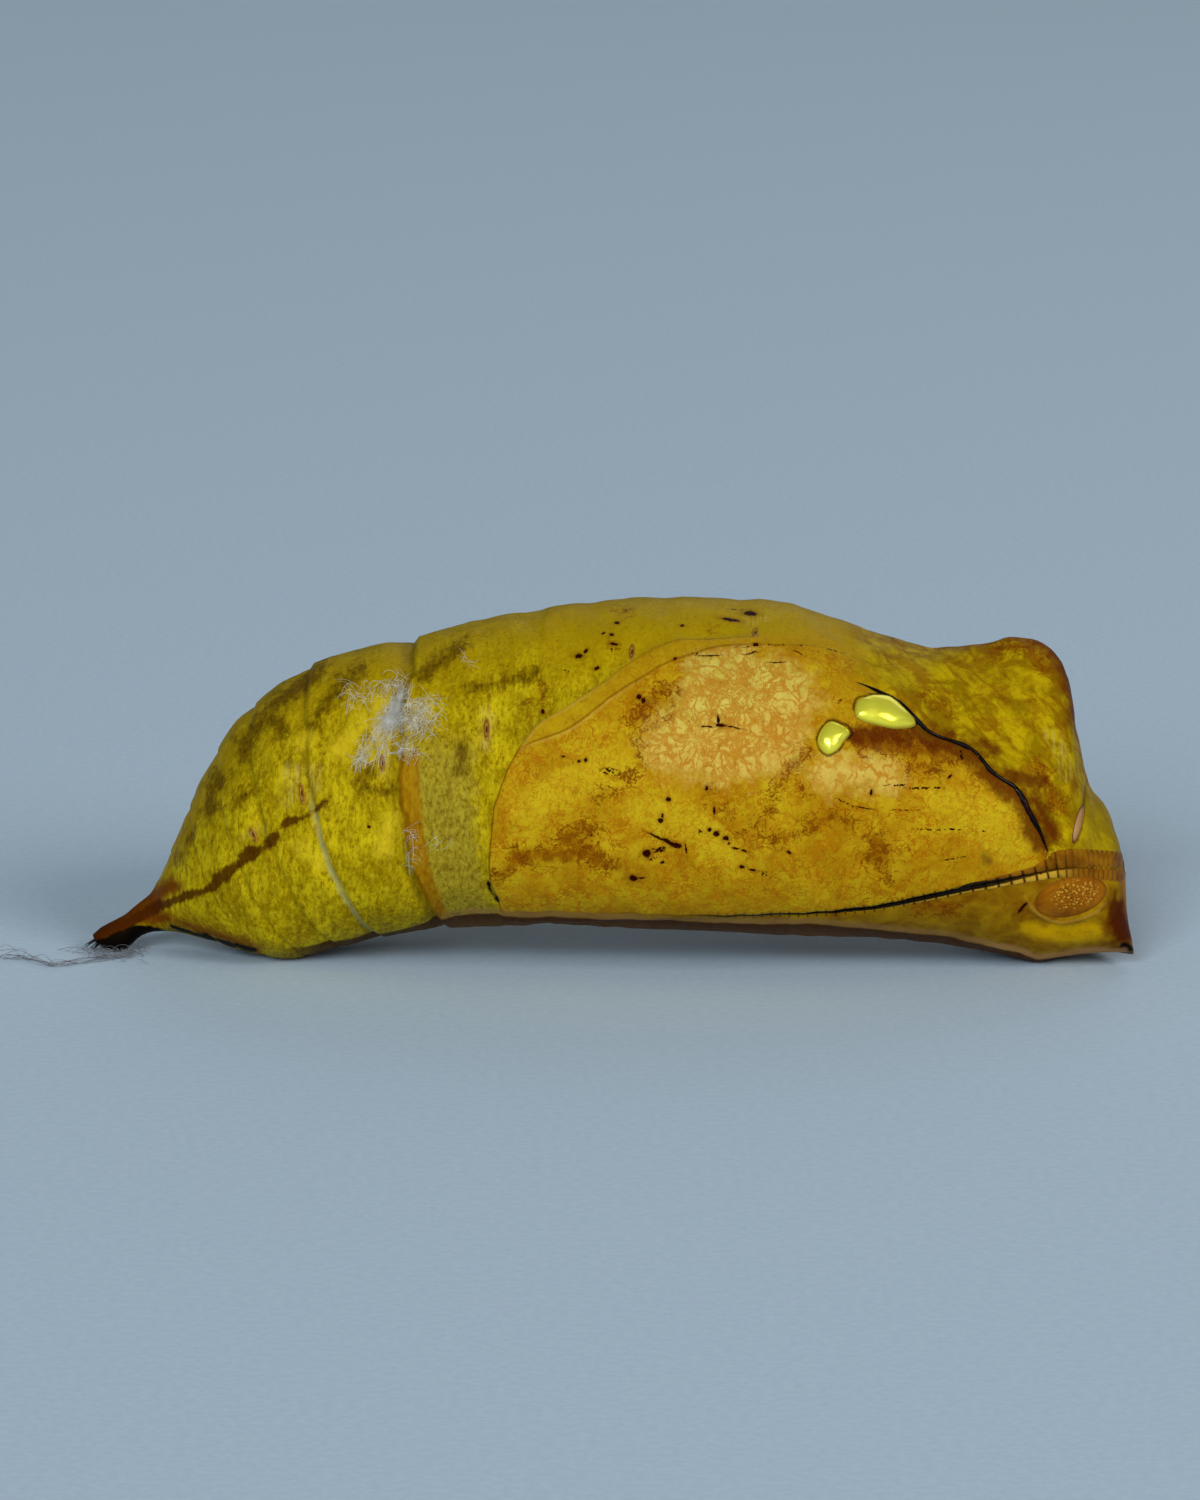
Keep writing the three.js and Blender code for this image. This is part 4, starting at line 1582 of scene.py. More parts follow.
    def place(self) -> Signal:
        """Gives the surface's place in the body's millimetres."""
        return self.vectors("MULTIPLY", self.node("TexCoord").outputs["Object"], (1 / MM,) * 3)

    def bump(self, height: Signal, strength: float, distance: float) -> Signal:
        """Turns a height of 0 to 1 into a normal; `distance` is in millimetres."""
        fed = {"Strength": strength, "Distance": distance * MM, "Height": height}
        return Signal(self, self.node("Bump", fed).outputs["Normal"])


def open_material(name: str) -> tuple[Material, Graph, Node]:
    """Makes a material.

    Args:
        name: Its name.

    Returns:
        The material, its graph and its shader.
    """
    material = bpy.data.materials.new(name)
    material.use_nodes = True
    graph = Graph(material.node_tree)
    return material, graph, material.node_tree.nodes["Principled BSDF"]


def open_group(
    name: str, inputs: dict[str, object], outputs: dict[str, str]
) -> tuple[Graph, bpy.types.NodeInputs, bpy.types.NodeInputs]:
    """Makes a shader node group.

    Args:
        name: The group's name.
        inputs: Each input's usual value: a number, a vector, a colour, or None for a place.
        outputs: Each output's kind: Float or Color.

    Returns:
        The group's graph, what it is given and what it puts out.
    """
    tree = bpy.data.node_groups.new(name, "ShaderNodeTree")
    for title, usual in inputs.items():
        size = len(usual) if isinstance(usual, tuple) else 0 if usual is not None else 3
        kind = {0: "Float", 3: "Vector", 4: "Color"}[size]
        socket = tree.interface.new_socket(title, in_out="INPUT", socket_type="NodeSocket" + kind)
        if usual is not None:
            socket.default_value = usual
    for title, kind in outputs.items():
        tree.interface.new_socket(title, in_out="OUTPUT", socket_type="NodeSocket" + kind)
    return Graph(tree), tree.nodes.new("NodeGroupInput").outputs, tree.nodes.new("NodeGroupOutput").inputs


@dataclass
class SharedGroups:
    """The effects that several materials use, each built once."""

    grain: bpy.types.NodeTree
    mottle: bpy.types.NodeTree

    @classmethod
    def build(cls) -> "SharedGroups":
        """Builds the groups."""
        return cls(grain=cls._cuticle_grain(), mottle=cls._mottle())

    @staticmethod
    def _cuticle_grain() -> bpy.types.NodeTree:
        """Builds the fine wrinkles and pores of the cuticle: a height, and a gloss that varies with it.

        Returns:
            The group.
        """
        graph, given, out = open_group(
            "cuticle_grain",
            {"Place": None, "Scale": 1.0, "Stretch": (1.0, 1.0, 1.0)},
            {"Height": "Float", "Roughness": "Float"},
        )
        at = graph.vectors("MULTIPLY", given["Place"], given["Stretch"])
        scaled = graph.scaled(at, given["Scale"])
        wrinkles = graph.noise(scaled, 3.2, 5, 0.62, 0.4)
        pores = graph.cells(scaled, 5.5).rise(0.0, 0.12)
        height = wrinkles * 0.8 + pores * 0.2
        graph.feed(out["Height"], height)
        graph.feed(out["Roughness"], wrinkles.rise(0.3, 0.7, 0.52, 0.36))
        return graph.tree

    @staticmethod
    def _mottle() -> bpy.types.NodeTree:
        """Builds the cloudy mixing of two colours.

        Returns:
            The group.
        """
        graph, given, out = open_group(
            "mottle",
            {"Place": None, "Scale": 1.0, "Contrast": 0.15, "Light": (1.0,) * 4, "Dark": tint(0, 0, 0)},
            {"Color": "Color"},
        )
        scaled = graph.scaled(given["Place"], given["Scale"])
        cloud = graph.noise(scaled, 1.0, 6, 0.6, 0.6)
        spread = (cloud - 0.5) / given["Contrast"]
        share = graph.math("ADD", spread, 0.5, clamp=True)
        graph.feed(out["Color"], graph.mix(share, given["Light"], given["Dark"]))
        return graph.tree

    def mottled(
        self, graph: Graph, at: Signal, scale: float, contrast: float, light: Colour, dark: Colour
    ) -> Signal:
        """Places the mottle in a material.

        Args:
            graph: The material's graph.
            at: Where it is read.
            scale: How fine it is.
            contrast: How gently one colour runs into the other.
            light, dark: The two colours.

        Returns:
            The mottled colour.
        """
        fed = {"Place": at, "Scale": scale, "Contrast": contrast, "Light": light, "Dark": dark}
        return Signal(graph, graph.node("Group", fed, node_tree=self.mottle).outputs["Color"])

    def grained(
        self, graph: Graph, shader: Node, at: Signal, scale: float, stretch: Point3 = (1, 1, 1)
    ) -> Signal:
        """Places the grain in a material, and feeds its gloss to the shader.

        Args:
            graph: The material's graph.
            shader: The material's shader.
            at: Where it is read.
            scale: How fine it is.
            stretch: How fine it is along each axis.

        Returns:
            The grain's height.
        """
        node = graph.node("Group", {"Place": at, "Scale": scale, "Stretch": stretch}, node_tree=self.grain)
        graph.feed(shader.inputs["Roughness"], node.outputs["Roughness"])
        return Signal(graph, node.outputs["Height"])


# ---------------------------------------------------------------- finishes
@dataclass(frozen=True)
class Fleck:
    """One small dark fleck: where it lies, its half sizes, its turn in degrees and whether it is all dots."""

    along: float
    up: float
    half_along: float
    half_up: float
    turn: float = 0.0
    dotted: bool = False

    def grade(self, turn: float) -> tuple[Point3, Point3]:
        """Sets out how to count places in half sizes from the fleck's middle.

        Args:
            turn: How far the places are already turned, in degrees.

        Returns:
            What to scale them by, and what to add then.
        """
        sine, cosine = math.sin(math.radians(turn)), math.cos(math.radians(turn))
        x, y = cosine * self.along + sine * self.up, cosine * self.up - sine * self.along
        return (1 / self.half_along, 1 / self.half_up, 0.0), (-x / self.half_along, -y / self.half_up, 0.0)


FLECK_TURNS = (-26.0, -9.0, 0.0, 10.0, 50.0)  # degrees that the flecks lean, to the nearest
FLECKS = tuple(Fleck(*row) for row in (  # along, up, half along, half up, turn, whether it is all dots
    # the torn streak and its neighbours
    (1.7, 4.58, 0.42, 0.045, -27), (2.1, 4.4, 0.32, 0.075, -26), (2.42, 4.27, 0.24, 0.1, -12),
    (2.8, 4.15, 0.04, 0.2, 15), (1.3, 3.97, 0.17, 0.14), (1.5, 3.8, 0.2, 0.1, 10, True),
    (1.75, 4.1, 0.3, 0.12, 20, True), (1.9, 3.62, 0.08, 0.05), (0.8, 3.05, 0.17, 0.12, -10),
    (1.1, 3.05, 0.15, 0.03), (2.12, 6, 0.1, 0.08), (1.82, 5.22, 0.11, 0.1), (1.9, 5.4, 0.05, 0.08),
    (3.7, 4.86, 0.09, 0.08), (3.95, 4.7, 0.12, 0.11, -30), (4.32, 4.52, 0.13, 0.09),
    (4.45, 4.33, 0.06, 0.05), (4.72, 4.14, 0.14, 0.04, -14), (5.02, 4.06, 0.13, 0.04, -10),
    (3.35, 4.75, 0.07, 0.2, 10, True), (4.95, 3.47, 0.11, 0.06), (5.35, 3.37, 0.14, 0.04, -6),
    (5.8, 3.25, 0.14, 0.1, 0, True), (3.58, 6.43, 0.07, 0.09), (3.87, 5.58, 0.05, 0.17),
    (-0.85, 4.6, 0.16, 0.05, -10, True),
    # the scar in the pale star
    (3.6, 8.74, 0.24, 0.03, 2), (4.1, 8.78, 0.2, 0.07, -6), (4.55, 8.69, 0.34, 0.026, -12),
    (4, 9, 0.05, 0.16, 20),
    # specks over the wing case
    (-1.9, 7.57, 0.08, 0.04), (-1.32, 7.4, 0.07, 0.06), (-1.06, 7.44, 0.08, 0.06, 40),
    (-0.1, 7.02, 0.4, 0.14, -8, True), (0.97, 9.84, 0.1, 0.09), (1.14, 9.7, 0.08, 0.1),
    (2.33, 11.28, 0.08, 0.05), (3.08, 11.52, 0.13, 0.1, 0, True), (3.65, 11.43, 0.42, 0.025, -2),
    (4.9, 11.74, 0.36, 0.025, 2, True), (5.4, 11.8, 0.1, 0.07), (6.1, 11.82, 0.5, 0.03, 1, True),
    (7.3, 11.8, 0.5, 0.022, -4, True), (8.3, 11.66, 0.55, 0.025, -10, True), (5.25, 11.5, 0.22, 0.03, 14),
    (6.25, 11.15, 0.3, 0.02, 2), (7, 11.5, 0.2, 0.02, -45), (9.6, 5.72, 0.3, 0.03, -8),
    (11.2, 5.65, 0.6, 0.02, 2, True), (12.4, 4.94, 1, 0.035, 2, True), (14, 4.86, 0.3, 0.03, 0, True),
    (13.1, 3.86, 0.6, 0.03, 8, True), (8.9, 5.9, 0.5, 0.03, -20, True), (10.7, 6.56, 0.5, 0.04, -4, True),
    (11.9, 6.45, 0.8, 0.05, 0, True), (13.3, 7.75, 0.05, 0.3, 6, True), (12.85, 6.9, 0.12, 0.05, 60),
    (9.85, 6.3, 0.06, 0.12), (6.75, 4.05, 0.1, 0.05, -30), (8.6, 9.7, 0.12, 0.05, 60, True),
    (15.7, 1.95, 0.3, 0.055, 42),
    # specks over the back
    (-1.35, 11.45, 0.15, 0.09, 0), (-1.1, 11.65, 0.1, 0.06, 60), (-1.85, 10.9, 0.12, 0.05, 0, True),
    (-0.66, 11, 0.11, 0.07, 20), (-0.02, 11.88, 0.16, 0.06, 4), (-0.1, 11.66, 0.06, 0.1, 0, True),
    (-0.4, 12.3, 0.08, 0.04), (-0.1, 12.25, 0.08, 0.06), (-2.72, 9.3, 0.08, 0.1),
    (4.45, 12.9, 0.34, 0.06, -8), (5.2, 13.15, 0.26, 0.09, -16), (4.6, 13.3, 0.3, 0.03, -4, True),
    (0.1, 12.7, 0.1, 0.05), (2.6, 12.65, 0.08, 0.04), (-9.35, 4.85, 0.06, 0.07),
))


@dataclass(frozen=True)
class CuticleFinish:
    """The shell's waxy, mottled cuticle, with every marking that it carries, and painted shade, shadow and
    highlights.
    """

    groups: SharedGroups
    dark: Colour = tint(42, 8, 2)
    ink: Colour = tint(12, 8, 5)
    gloss: Colour = tint(255, 214, 110)  # of the waxy sheen

    def _streaks(self, graph: Graph, v: ShellValues) -> Signal:
        """Fine velvety streaks that run up and down the flank."""
        at = graph.vector(v["along"] * 2.6, v["up"] * 0.8, v["across"] * 0.5)
        return graph.noise(at, 1.7, 6, 0.72, 0.3)

    @staticmethod
    def _soak(v: ShellValues, mark: Mark, low: float, high: float, stir: float = 1) -> Signal:
        """Gives the share of a mark, its edge broken by the shell's own noise."""
        return (v[mark.value] + v["wobble"] * stir).rise(low, high)

    def _abdomen(self, graph: Graph, v: ShellValues) -> Signal:
        """Colours the abdomen rings and the smooth back above the wings.

        Args:
            graph: The material's graph.
            v: The shell's values.

        Returns:
            The colour.
        """
        mottle = self.groups.mottled(graph, v["pos"], 0.62, 0.24, tint(194, 170, 14), tint(150, 126, 4))
        colour = graph.mix(v["streaks"].rise(0.42, 0.6, 0, 0.7), mottle, tint(130, 102, 3))
        fine = v["fine"]
        colour = graph.mix(fine.rise(0.5, 0.68, 0, 0.6), colour, tint(116, 90, 3))
        colour = graph.mix(fine.rise(0.5, 0.32, 0, 0.6), colour, tint(196, 174, 28))
        smooth_back = v["along"].rise(-3.2, -2.4) * v["up"].rise(9.5, 12.5)
        colour = graph.mix(smooth_back * 0.45, colour, tint(166, 132, 4))
        # The crown of the back turns browner and a little darker: partly its own colour, partly painted shade where
        # the back turns up away from the light.
        crown_tone_and_shade = v["turn"].rise(1, 0.45)
        colour = graph.mix(crown_tone_and_shade * 0.6, colour, tint(166, 136, 4))
        # Painted shade in the seam grooves, darkest where the step sinks deepest.
        seam = v["step"].rise(0.05, 0.16)
        colour = graph.mix(seam * 0.4, colour, tint(100, 74, 6))
        ahead = v["station"] - 10.0
        low = (v["up"] + v["wobble"]).rise(8.9, 7.4)
        lower = v["up"].rise(8, 7.4)
        strip = lower * ahead.rise(0, 0.015) * (ahead + v["wobble"] * 0.05).rise(0.2, 0.16)
        grey = low * ahead.rise(0.06, 0.16) * (ahead + v["wobble"] * 0.24).rise(0.62, 0.5)
        ashen = graph.mix(fine.rise(0.36, 0.64), tint(154, 138, 42), tint(120, 98, 20))
        colour = graph.mix(grey * 0.75, colour, ashen)
        amber = graph.mix(v["streaks"].rise(0.4, 0.6), tint(156, 112, 8), tint(138, 88, 4))
        colour = graph.mix(strip * 0.85, colour, amber)
        behind = v["station"] - 8.985 + v["wobble"] * 0.06
        rim5 = v["up"].rise(6.3, 5.2) * behind.line(0.018, 0.05)
        patchiness = (fine + v["wobble"]).rise(0.25, 0.7, 0.15, 0.7)
        return graph.mix(rim5 * patchiness, colour, tint(162, 162, 112))

    def _marbling(self, graph: Graph, v: ShellValues) -> Signal:
        """Draws branching veins: rays from two stars, and a net of uneven lobes between them.

        Args:
            graph: The material's graph.
            v: The shell's values.

        Returns:
            The veins' share.
        """
        flat = graph.vector(v["along"], v["up"])
        stirred = graph.stir(flat, 1.3, 0.8, 4)
        rays = []
        for middle, rate in (((3.3, 8.2, 0), 2.6), ((5.25, 10, 0), 1.9)):
            away = graph.vectors("SUBTRACT", stirred, middle)
            distance = graph.vectors("LENGTH", away, output=1)
            heading = graph.vectors("MULTIPLY", graph.vectors("NORMALIZE", away), (rate,) * 3)
            at = graph.vectors("ADD", heading, graph.vector(0, 0, distance * 0.75))
            edge = graph.cells(graph.stir(at, 2.4, 0.4, 4), 1.7)
            near = (distance + v["wobble"] * 1.6).rise(3.4, 2)
            rays.append(edge.rise(0.14, 0) * near)
        net = graph.cells(graph.vectors("MULTIPLY", graph.stir(flat, 2.2, 1, 4), (1, 0.6, 1)), 1.7)
        lobes = net.rise(0.17, 0.02)
        broken = graph.noise(v["pos"], 1.1, 4).rise(0.36, 0.54)
        return graph.most(*rays, lobes * broken)

    def _wing(self, graph: Graph, v: ShellValues) -> Signal:
        """Colours the wing case.

        Args:
            graph: The material's graph.
            v: The shell's values.

        Returns:
            The colour.
        """
        mottle = self.groups.mottled(graph, v["pos"], 0.75, 0.34, tint(186, 154, 20), tint(160, 116, 8))
        marbling = self._marbling(graph, v)
        cloud = graph.noise(v["pos"], 1.5, 6, 0.68).rise(0.5, 0.64)
        colour = graph.mix(cloud * 0.5, mottle, tint(156, 104, 6))
        patchy = graph.noise(v["pos"], 0.55, 3).rise(0.4, 0.58, 0.2, 0.75)
        colour = graph.mix(v["web"] * patchy, colour, tint(150, 90, 6))
        bright = self._soak(v, Mark.BRIGHT, -0.4, 0.4, 1.4)
        colour = graph.mix(bright * 0.75, colour, tint(192, 164, 24))
        colour = graph.mix(v["web"] * 0.5, colour, tint(156, 96, 6))
        frost = self._soak(v, Mark.FROST, -0.6, 0.5, 2.4)
        grains = graph.noise(v["pos"], 6, 4, 0.7).rise(0.42, 0.62)
        frosty = graph.mix(grains * 0.5, tint(204, 184, 84), tint(188, 158, 48))
        colour = graph.mix(frost * 0.92, colour, frosty)
        pink = frost * (v["up"] - v["along"] * 0.35).rise(8.4, 6.6)
        colour = graph.mix(pink * 0.3, colour, tint(200, 140, 56))
        veins = marbling * (frost * 0.5 + 0.3)
        colour = graph.mix(veins, colour, tint(172, 108, 8))
        border = v["wing_depth"].line(0.03, 0.07) * v["blend"].rise(0.4, 0)
        colour = graph.mix(border * 0.8, colour, tint(96, 50, 4))
        on_top = v["up"].rise(7.6, 8.2)
        hind = on_top * v["fore_edge"].rise(-0.03, 0.03)
        colour = graph.mix(hind * 0.5, colour, tint(168, 136, 12))
        fore_line = on_top * v["fore_edge"].line(0.02, 0.05) * v["along"].rise(8, 3.5)
        colour = graph.mix(fore_line * 0.6, colour, tint(116, 74, 8))
        # Pale painted highlights along the raised edges of the fore and hind margins.
        pale = (v["fore_edge"] + 0.1).line(0.03, 0.06) * on_top * v["along"].rise(2, -0.5)
        colour = graph.mix(pale * 0.3, colour, tint(190, 158, 60))
        hind_edge_highlight = (v["hind_edge"] + 0.1).line(0.04, 0.07) * on_top * v["along"].rise(1, -1.5)
        return graph.mix(hind_edge_highlight * 0.3, colour, tint(190, 158, 60))

    def _thorax(self, graph: Graph, v: ShellValues) -> Signal:
        """Colours the keeled thorax and the neck ahead of it.

        Args:
            graph: The material's graph.
            v: The shell's values.

        Returns:
            The colour.
        """
        mottle = self.groups.mottled(graph, v["pos"], 1.1, 0.18, tint(178, 150, 8), tint(134, 106, 3))
        slanted = graph.vector((v["along"] + v["up"]) * 1.6, (v["up"] - v["along"]) * 0.35)
        strokes = graph.noise(graph.stir(slanted, 1, 0.6), 1.3, 5, 0.65)
        colour = graph.mix(strokes.rise(0.5, 0.64, 0, 0.75), mottle, tint(124, 80, 4))
        warm = (graph.noise(v["pos"], 0.62, 5, 0.65) + v["web"] * 0.05).rise(0.5, 0.62)
        colour = graph.mix(warm * 0.6, colour, tint(126, 76, 4))
        neck = v["prothorax_edge"].rise(-0.02, 0.1)
        colour = graph.mix(neck * v["along"].rise(17.4, 18) * 0.5, colour, tint(152, 130, 16))
        return graph.mix(v["prothorax_edge"].line(0.02, 0.05) * 0.5, colour, tint(96, 58, 6))

    def _head(self, graph: Graph, v: ShellValues) -> Signal:
        """Colours the cheeks and the front under the antennae, and the belly behind them.

        Args:
            graph: The material's graph.
            v: The shell's values.

        Returns:
            The colour.
        """
        mottle = self.groups.mottled(graph, v["pos"], 1, 0.3, tint(154, 118, 12), tint(118, 76, 5))
        # Bright patches; the one beside the eye is painted light on a cheek turned away from the light.
        bright = self._soak(v, Mark.BRIGHT, -0.12, 0.2, 0.5)
        colour = graph.mix(bright * 0.85, mottle, tint(192, 148, 4))
        under = v["facing"].rise(0.42, 0.16) * v["along"].rise(-4.6, -4.2)
        colour = graph.mix(under * 0.55, colour, tint(178, 112, 34))
        fold = v["lid_edge"].line(0.02, 0.07)
        return graph.mix(fold * 0.5, colour, tint(166, 122, 44))

    def _flecks(self, graph: Graph, v: ShellValues) -> tuple[Signal, Signal]:
        """Marks the small dark flecks, with the dust of specks between them, and the rusty halo round them.

        Args:
            graph: The material's graph.
            v: The shell's values.

        Returns:
            The share of the flecks, and that of the halo.
        """
        at = graph.stir(graph.stir(graph.vector(v["along"], v["up"]), 5, 0.1, 2), 14, 0.07, 2)
        turned = {turn: graph.turned(at, turn) for turn in FLECK_TURNS}
        nearest: dict[bool, Value] = {True: 9.0, False: 9.0}  # in half sizes; far outside every fleck
        for fleck in FLECKS:
            turn = min(FLECK_TURNS, key=lambda lean: abs(lean - fleck.turn))
            scale, shift = fleck.grade(turn)
            fed = {0: turned[turn], 1: scale, 2: shift}
            counted = graph.node("VectorMath", fed, operation="MULTIPLY_ADD")
            away = graph.vectors("LENGTH", counted.outputs[0], output=1)
            nearest[fleck.dotted] = graph.least(nearest[fleck.dotted], away)
        dotted = graph.noise(v["pos"], 9, 2).rise(0.47, 0.54)
        drawn = graph.most(nearest[False].rise(1.2, 0.8), nearest[True].rise(1.2, 0.8) * dotted)
        dots = graph.cells(graph.stir(v["pos"], 6, 0.12), 4.2, "F1").rise(0.19, 0.1)
        area = (v[Mark.FRECKLED.value] + v["wobble"] * 1.2).rise(-0.1, 0.35)
        chosen = graph.noise(v["pos"], 2.6, 2).rise(0.5, 0.58)
        tiny = graph.cells(v["pos"], 5, "F1").rise(0.11, 0.05)
        tiny = tiny * graph.noise(v["pos"], 0.8, 2).rise(0.56, 0.66)
        halo = (nearest[False] + v["wobble"] * 2).rise(2.6, 1.1)
        return graph.most(drawn, dots * area * chosen * 0.85, tiny * 0.5), halo

    def _antenna_line(self, graph: Graph, v: ShellValues) -> Signal:
        """Draws the black line along the antenna, and the ticks of its joints above it.

        Args:
            graph: The material's graph.
            v: The shell's values.

        Returns:
            The line's share.
        """
        off = abs(v["antenna_edge"])
        half = v["along"].rise(2, 12.5, 0.012, 0.115) - v["along"].rise(13.6, 17.4, 0, 0.115)
        line = (off - half).rise(0.035, 0)
        swing = abs(graph.math("SINE", v["joint"] * math.pi))
        tick = swing.rise(0.45, 0.2) * (off - half).rise(0.15, 0.06)
        seen = v["facing"].rise(0, 0.08) * v["along"].rise(17.6, 16.6)
        line = line * v["along"].rise(1, 5.5, 0.35, 1) * v["along"].rise(-1, 1)
        return graph.most(line, tick * v["along"].rise(0.5, 7) * 0.65) * seen

    def build(self) -> Material:
        """Makes the material.

        Returns:
            The material.
        """
        material, graph, shader = open_material("mottled_cuticle")
        names = (
            "along", "up", "facing", "station", "turn", "wing_depth", "fore_edge", "hind_edge",
            "shoulder_edge", "blend", "antenna_edge", "joint", "prothorax_edge", "lid_edge", "keel_edge",
            "spot_edge", "step",
            *(mark.value for mark in Mark),
        )
        v = {name: graph.value(name) for name in names}
        v["pos"] = graph.place()
        v["across"] = Signal(graph, graph.node("SeparateXYZ", {0: v["pos"]}).outputs["Y"])
        v["wobble"] = graph.noise(v["pos"], 1.9, 6, 0.68) - 0.5
        v["streaks"] = self._streaks(graph, v)
        stirred = graph.stir(v["pos"], 1.3, 0.8, 3)
        v["web"] = graph.most(graph.ridges(stirred, 0.95, 0.026), graph.ridges(stirred, 2.1, 0.032) * 0.7)
        v["fine"] = graph.noise(graph.vectors("MULTIPLY", v["pos"], (1, 0.8, 0.55)), 7, 4, 0.75)
        seen = v["facing"].rise(0, 0.1)
        colour = self._abdomen(graph, v)
        ragged = v["wobble"] * 1.2 + (v["streaks"] - 0.5) * 0.9
        fringe = graph.noise(graph.vector(v["along"] * 9, v["up"] * 0.9), 1, 3).rise(0.42, 0.6)
        pale = (v[Mark.PALE.value] + v["wobble"] * 0.6).rise(-0.15, 0.3) * seen
        smudge = (v[Mark.SMUDGE.value] + ragged).rise(-0.32, 0.24)
        smoke = graph.mix(v["fine"].rise(0.35, 0.65), tint(96, 62, 3), tint(50, 30, 2))
        colour = graph.mix(smudge * seen * 0.78, colour, smoke)
        # Bright patches, mostly the shell's own colour; the one beside the eye is painted light.
        bright = self._soak(v, Mark.BRIGHT, -0.3, 0.4, 1)
        colour = graph.mix(bright * seen * 0.65, colour, tint(212, 184, 32))
        on_thorax = (v["shoulder_edge"] + v["wobble"] * 0.4).rise(-0.05, 0.12) * v["along"].rise(8.2, 10.4)
        colour = graph.mix(on_thorax, colour, self._thorax(graph, v))
        soft = (v["wing_depth"] + v["wobble"] * 2.2).rise(-0.9, 0.7)
        hard = (v["wing_depth"] + v["wobble"] * 0.05).rise(-0.02, 0.04)
        on_wing = hard * (1.0 - v["blend"]) + soft * v["blend"]
        colour = graph.mix(on_wing * seen, colour, self._wing(graph, v))
        # Pale patches, among them a painted sheen down the thorax.
        colour = graph.mix(pale * fringe * 0.4, colour, tint(190, 168, 80))
        below = v["antenna_edge"] * -1.0
        on_head = below.rise(-0.02, 0.06) * v["along"].rise(-4.5, -4.1)
        front = v["along"].rise(-5, -4.4) * v["facing"].rise(0.1, -0.02)
        colour = graph.mix(graph.most(on_head, front), colour, self._head(graph, v))
        fingers = v["web"] * 0.3
        brown = (v[Mark.BROWN.value] + v["wobble"] * 1.2 + fingers).rise(-0.08, 0.42)
        browns = graph.mix((v["wobble"] + fingers).rise(-0.2, 0.35), tint(142, 86, 4), tint(108, 54, 3))
        colour = graph.mix(brown * seen * 0.86, colour, browns)
        grey = self._soak(v, Mark.GREY, -0.1, 0.14, 0.3) * seen
        colour = graph.mix(grey * 0.6, colour, tint(98, 72, 14))
        maroon = self._soak(v, Mark.MAROON, -0.32, 0.14, 1) * seen
        colour = graph.mix(maroon * 0.85, colour, tint(84, 28, 4))
        rust = self._soak(v, Mark.RUST, -0.3, 0.3, 0.7)
        rusty = graph.mix(v["along"].rise(-10, 10), tint(104, 46, 5), tint(92, 30, 3))
        rusty = graph.mix(abs(v["along"]).rise(17.6, 19.3, 0, 0.95), rusty, tint(64, 5, 1))
        colour = graph.mix(rust * 0.94, colour, rusty)
        stripe = (v[Mark.STRIPE.value] + ragged * 0.35).rise(-0.08, 0.08)
        colour = graph.mix(stripe * seen * 0.9, colour, tint(70, 30, 3))
        ring = abs(v["spot_edge"] + v["wobble"] * 0.45 + 0.02).rise(0.09, 0)
        black = (v[Mark.BLACK.value] + v["wobble"] * 0.3).rise(-0.06, 0.04)
        flecks, halo = self._flecks(graph, v)
        colour = graph.mix(halo * seen * 0.35, colour, tint(104, 44, 4))
        colour = graph.mix(flecks * seen, colour, self.dark)
        colour = graph.mix(graph.most(ring * 0.8, self._antenna_line(graph, v)), colour, self.ink)
        # Black marks, among them painted shadow in the gap under the tail stalk.
        colour = graph.mix(black, colour, self.ink)
        # A pale pinkish painted highlight along the keel edge, broken up in patches.
        patchiness = v["wobble"].rise(-0.3, 0.2, 0.35, 0.7)
        lip = v["keel_edge"].rise(0.26, 0.08) * v["along"].rise(-7, -6) * patchiness
        keel_highlight_tint = graph.mix(v["along"].rise(13, 15), tint(152, 112, 62), tint(188, 138, 88))
        colour = graph.mix(lip, colour, keel_highlight_tint)
        # Painted shadow: below the keel edge the belly is coloured dark brown, standing in for the shadow on the
        # surface under the arch.
        turned = (v["keel_edge"] + v["wobble"] * 0.06).rise(0, -0.07) * v["along"].rise(-13.4, -11)
        shade = graph.mix(v["keel_edge"].rise(-0.1, -0.6), tint(58, 24, 0), tint(96, 58, 0))
        colour = graph.mix(turned * 0.92, colour, shade)
        colour = graph.mix(v["fine"].rise(0.52, 0.7, 0, 0.3), colour, tint(110, 90, 70), "MULTIPLY")
        grain = self.groups.grained(graph, shader, v["pos"], 1, (1, 0.7, 0.55))
        graph.feed(shader.inputs["Base Color"], colour)
        graph.feed(shader.inputs["Normal"], graph.bump(grain, 0.35, 0.06))
        shader.inputs["Specular IOR Level"].default_value = 0.015
        shader.inputs["Specular Tint"].default_value = self.gloss
        return material


@dataclass(frozen=True)
class GoldFinish:
    """Polished greenish gold that darkens at its rim."""

    groups: SharedGroups

    def build(self) -> Material:
        """Makes the material.

        Returns:
            The material.
        """
        material, graph, shader = open_material("pupal_gold")
        rim = graph.value("rimward").rise(0.93, 1)
        mottle = self.groups.mottled(graph, graph.place(), 1.6, 0.7, tint(250, 244, 84), tint(236, 224, 40))
        graph.feed(shader.inputs["Base Color"], graph.mix(rim, mottle, tint(150, 128, 16)))
        graph.feed(shader.inputs["Roughness"], rim.rise(0, 1, 0.27, 0.45))
        graph.feed(shader.inputs["Metallic"], rim.rise(0.2, 1, 0.55, 0.2))
        return material


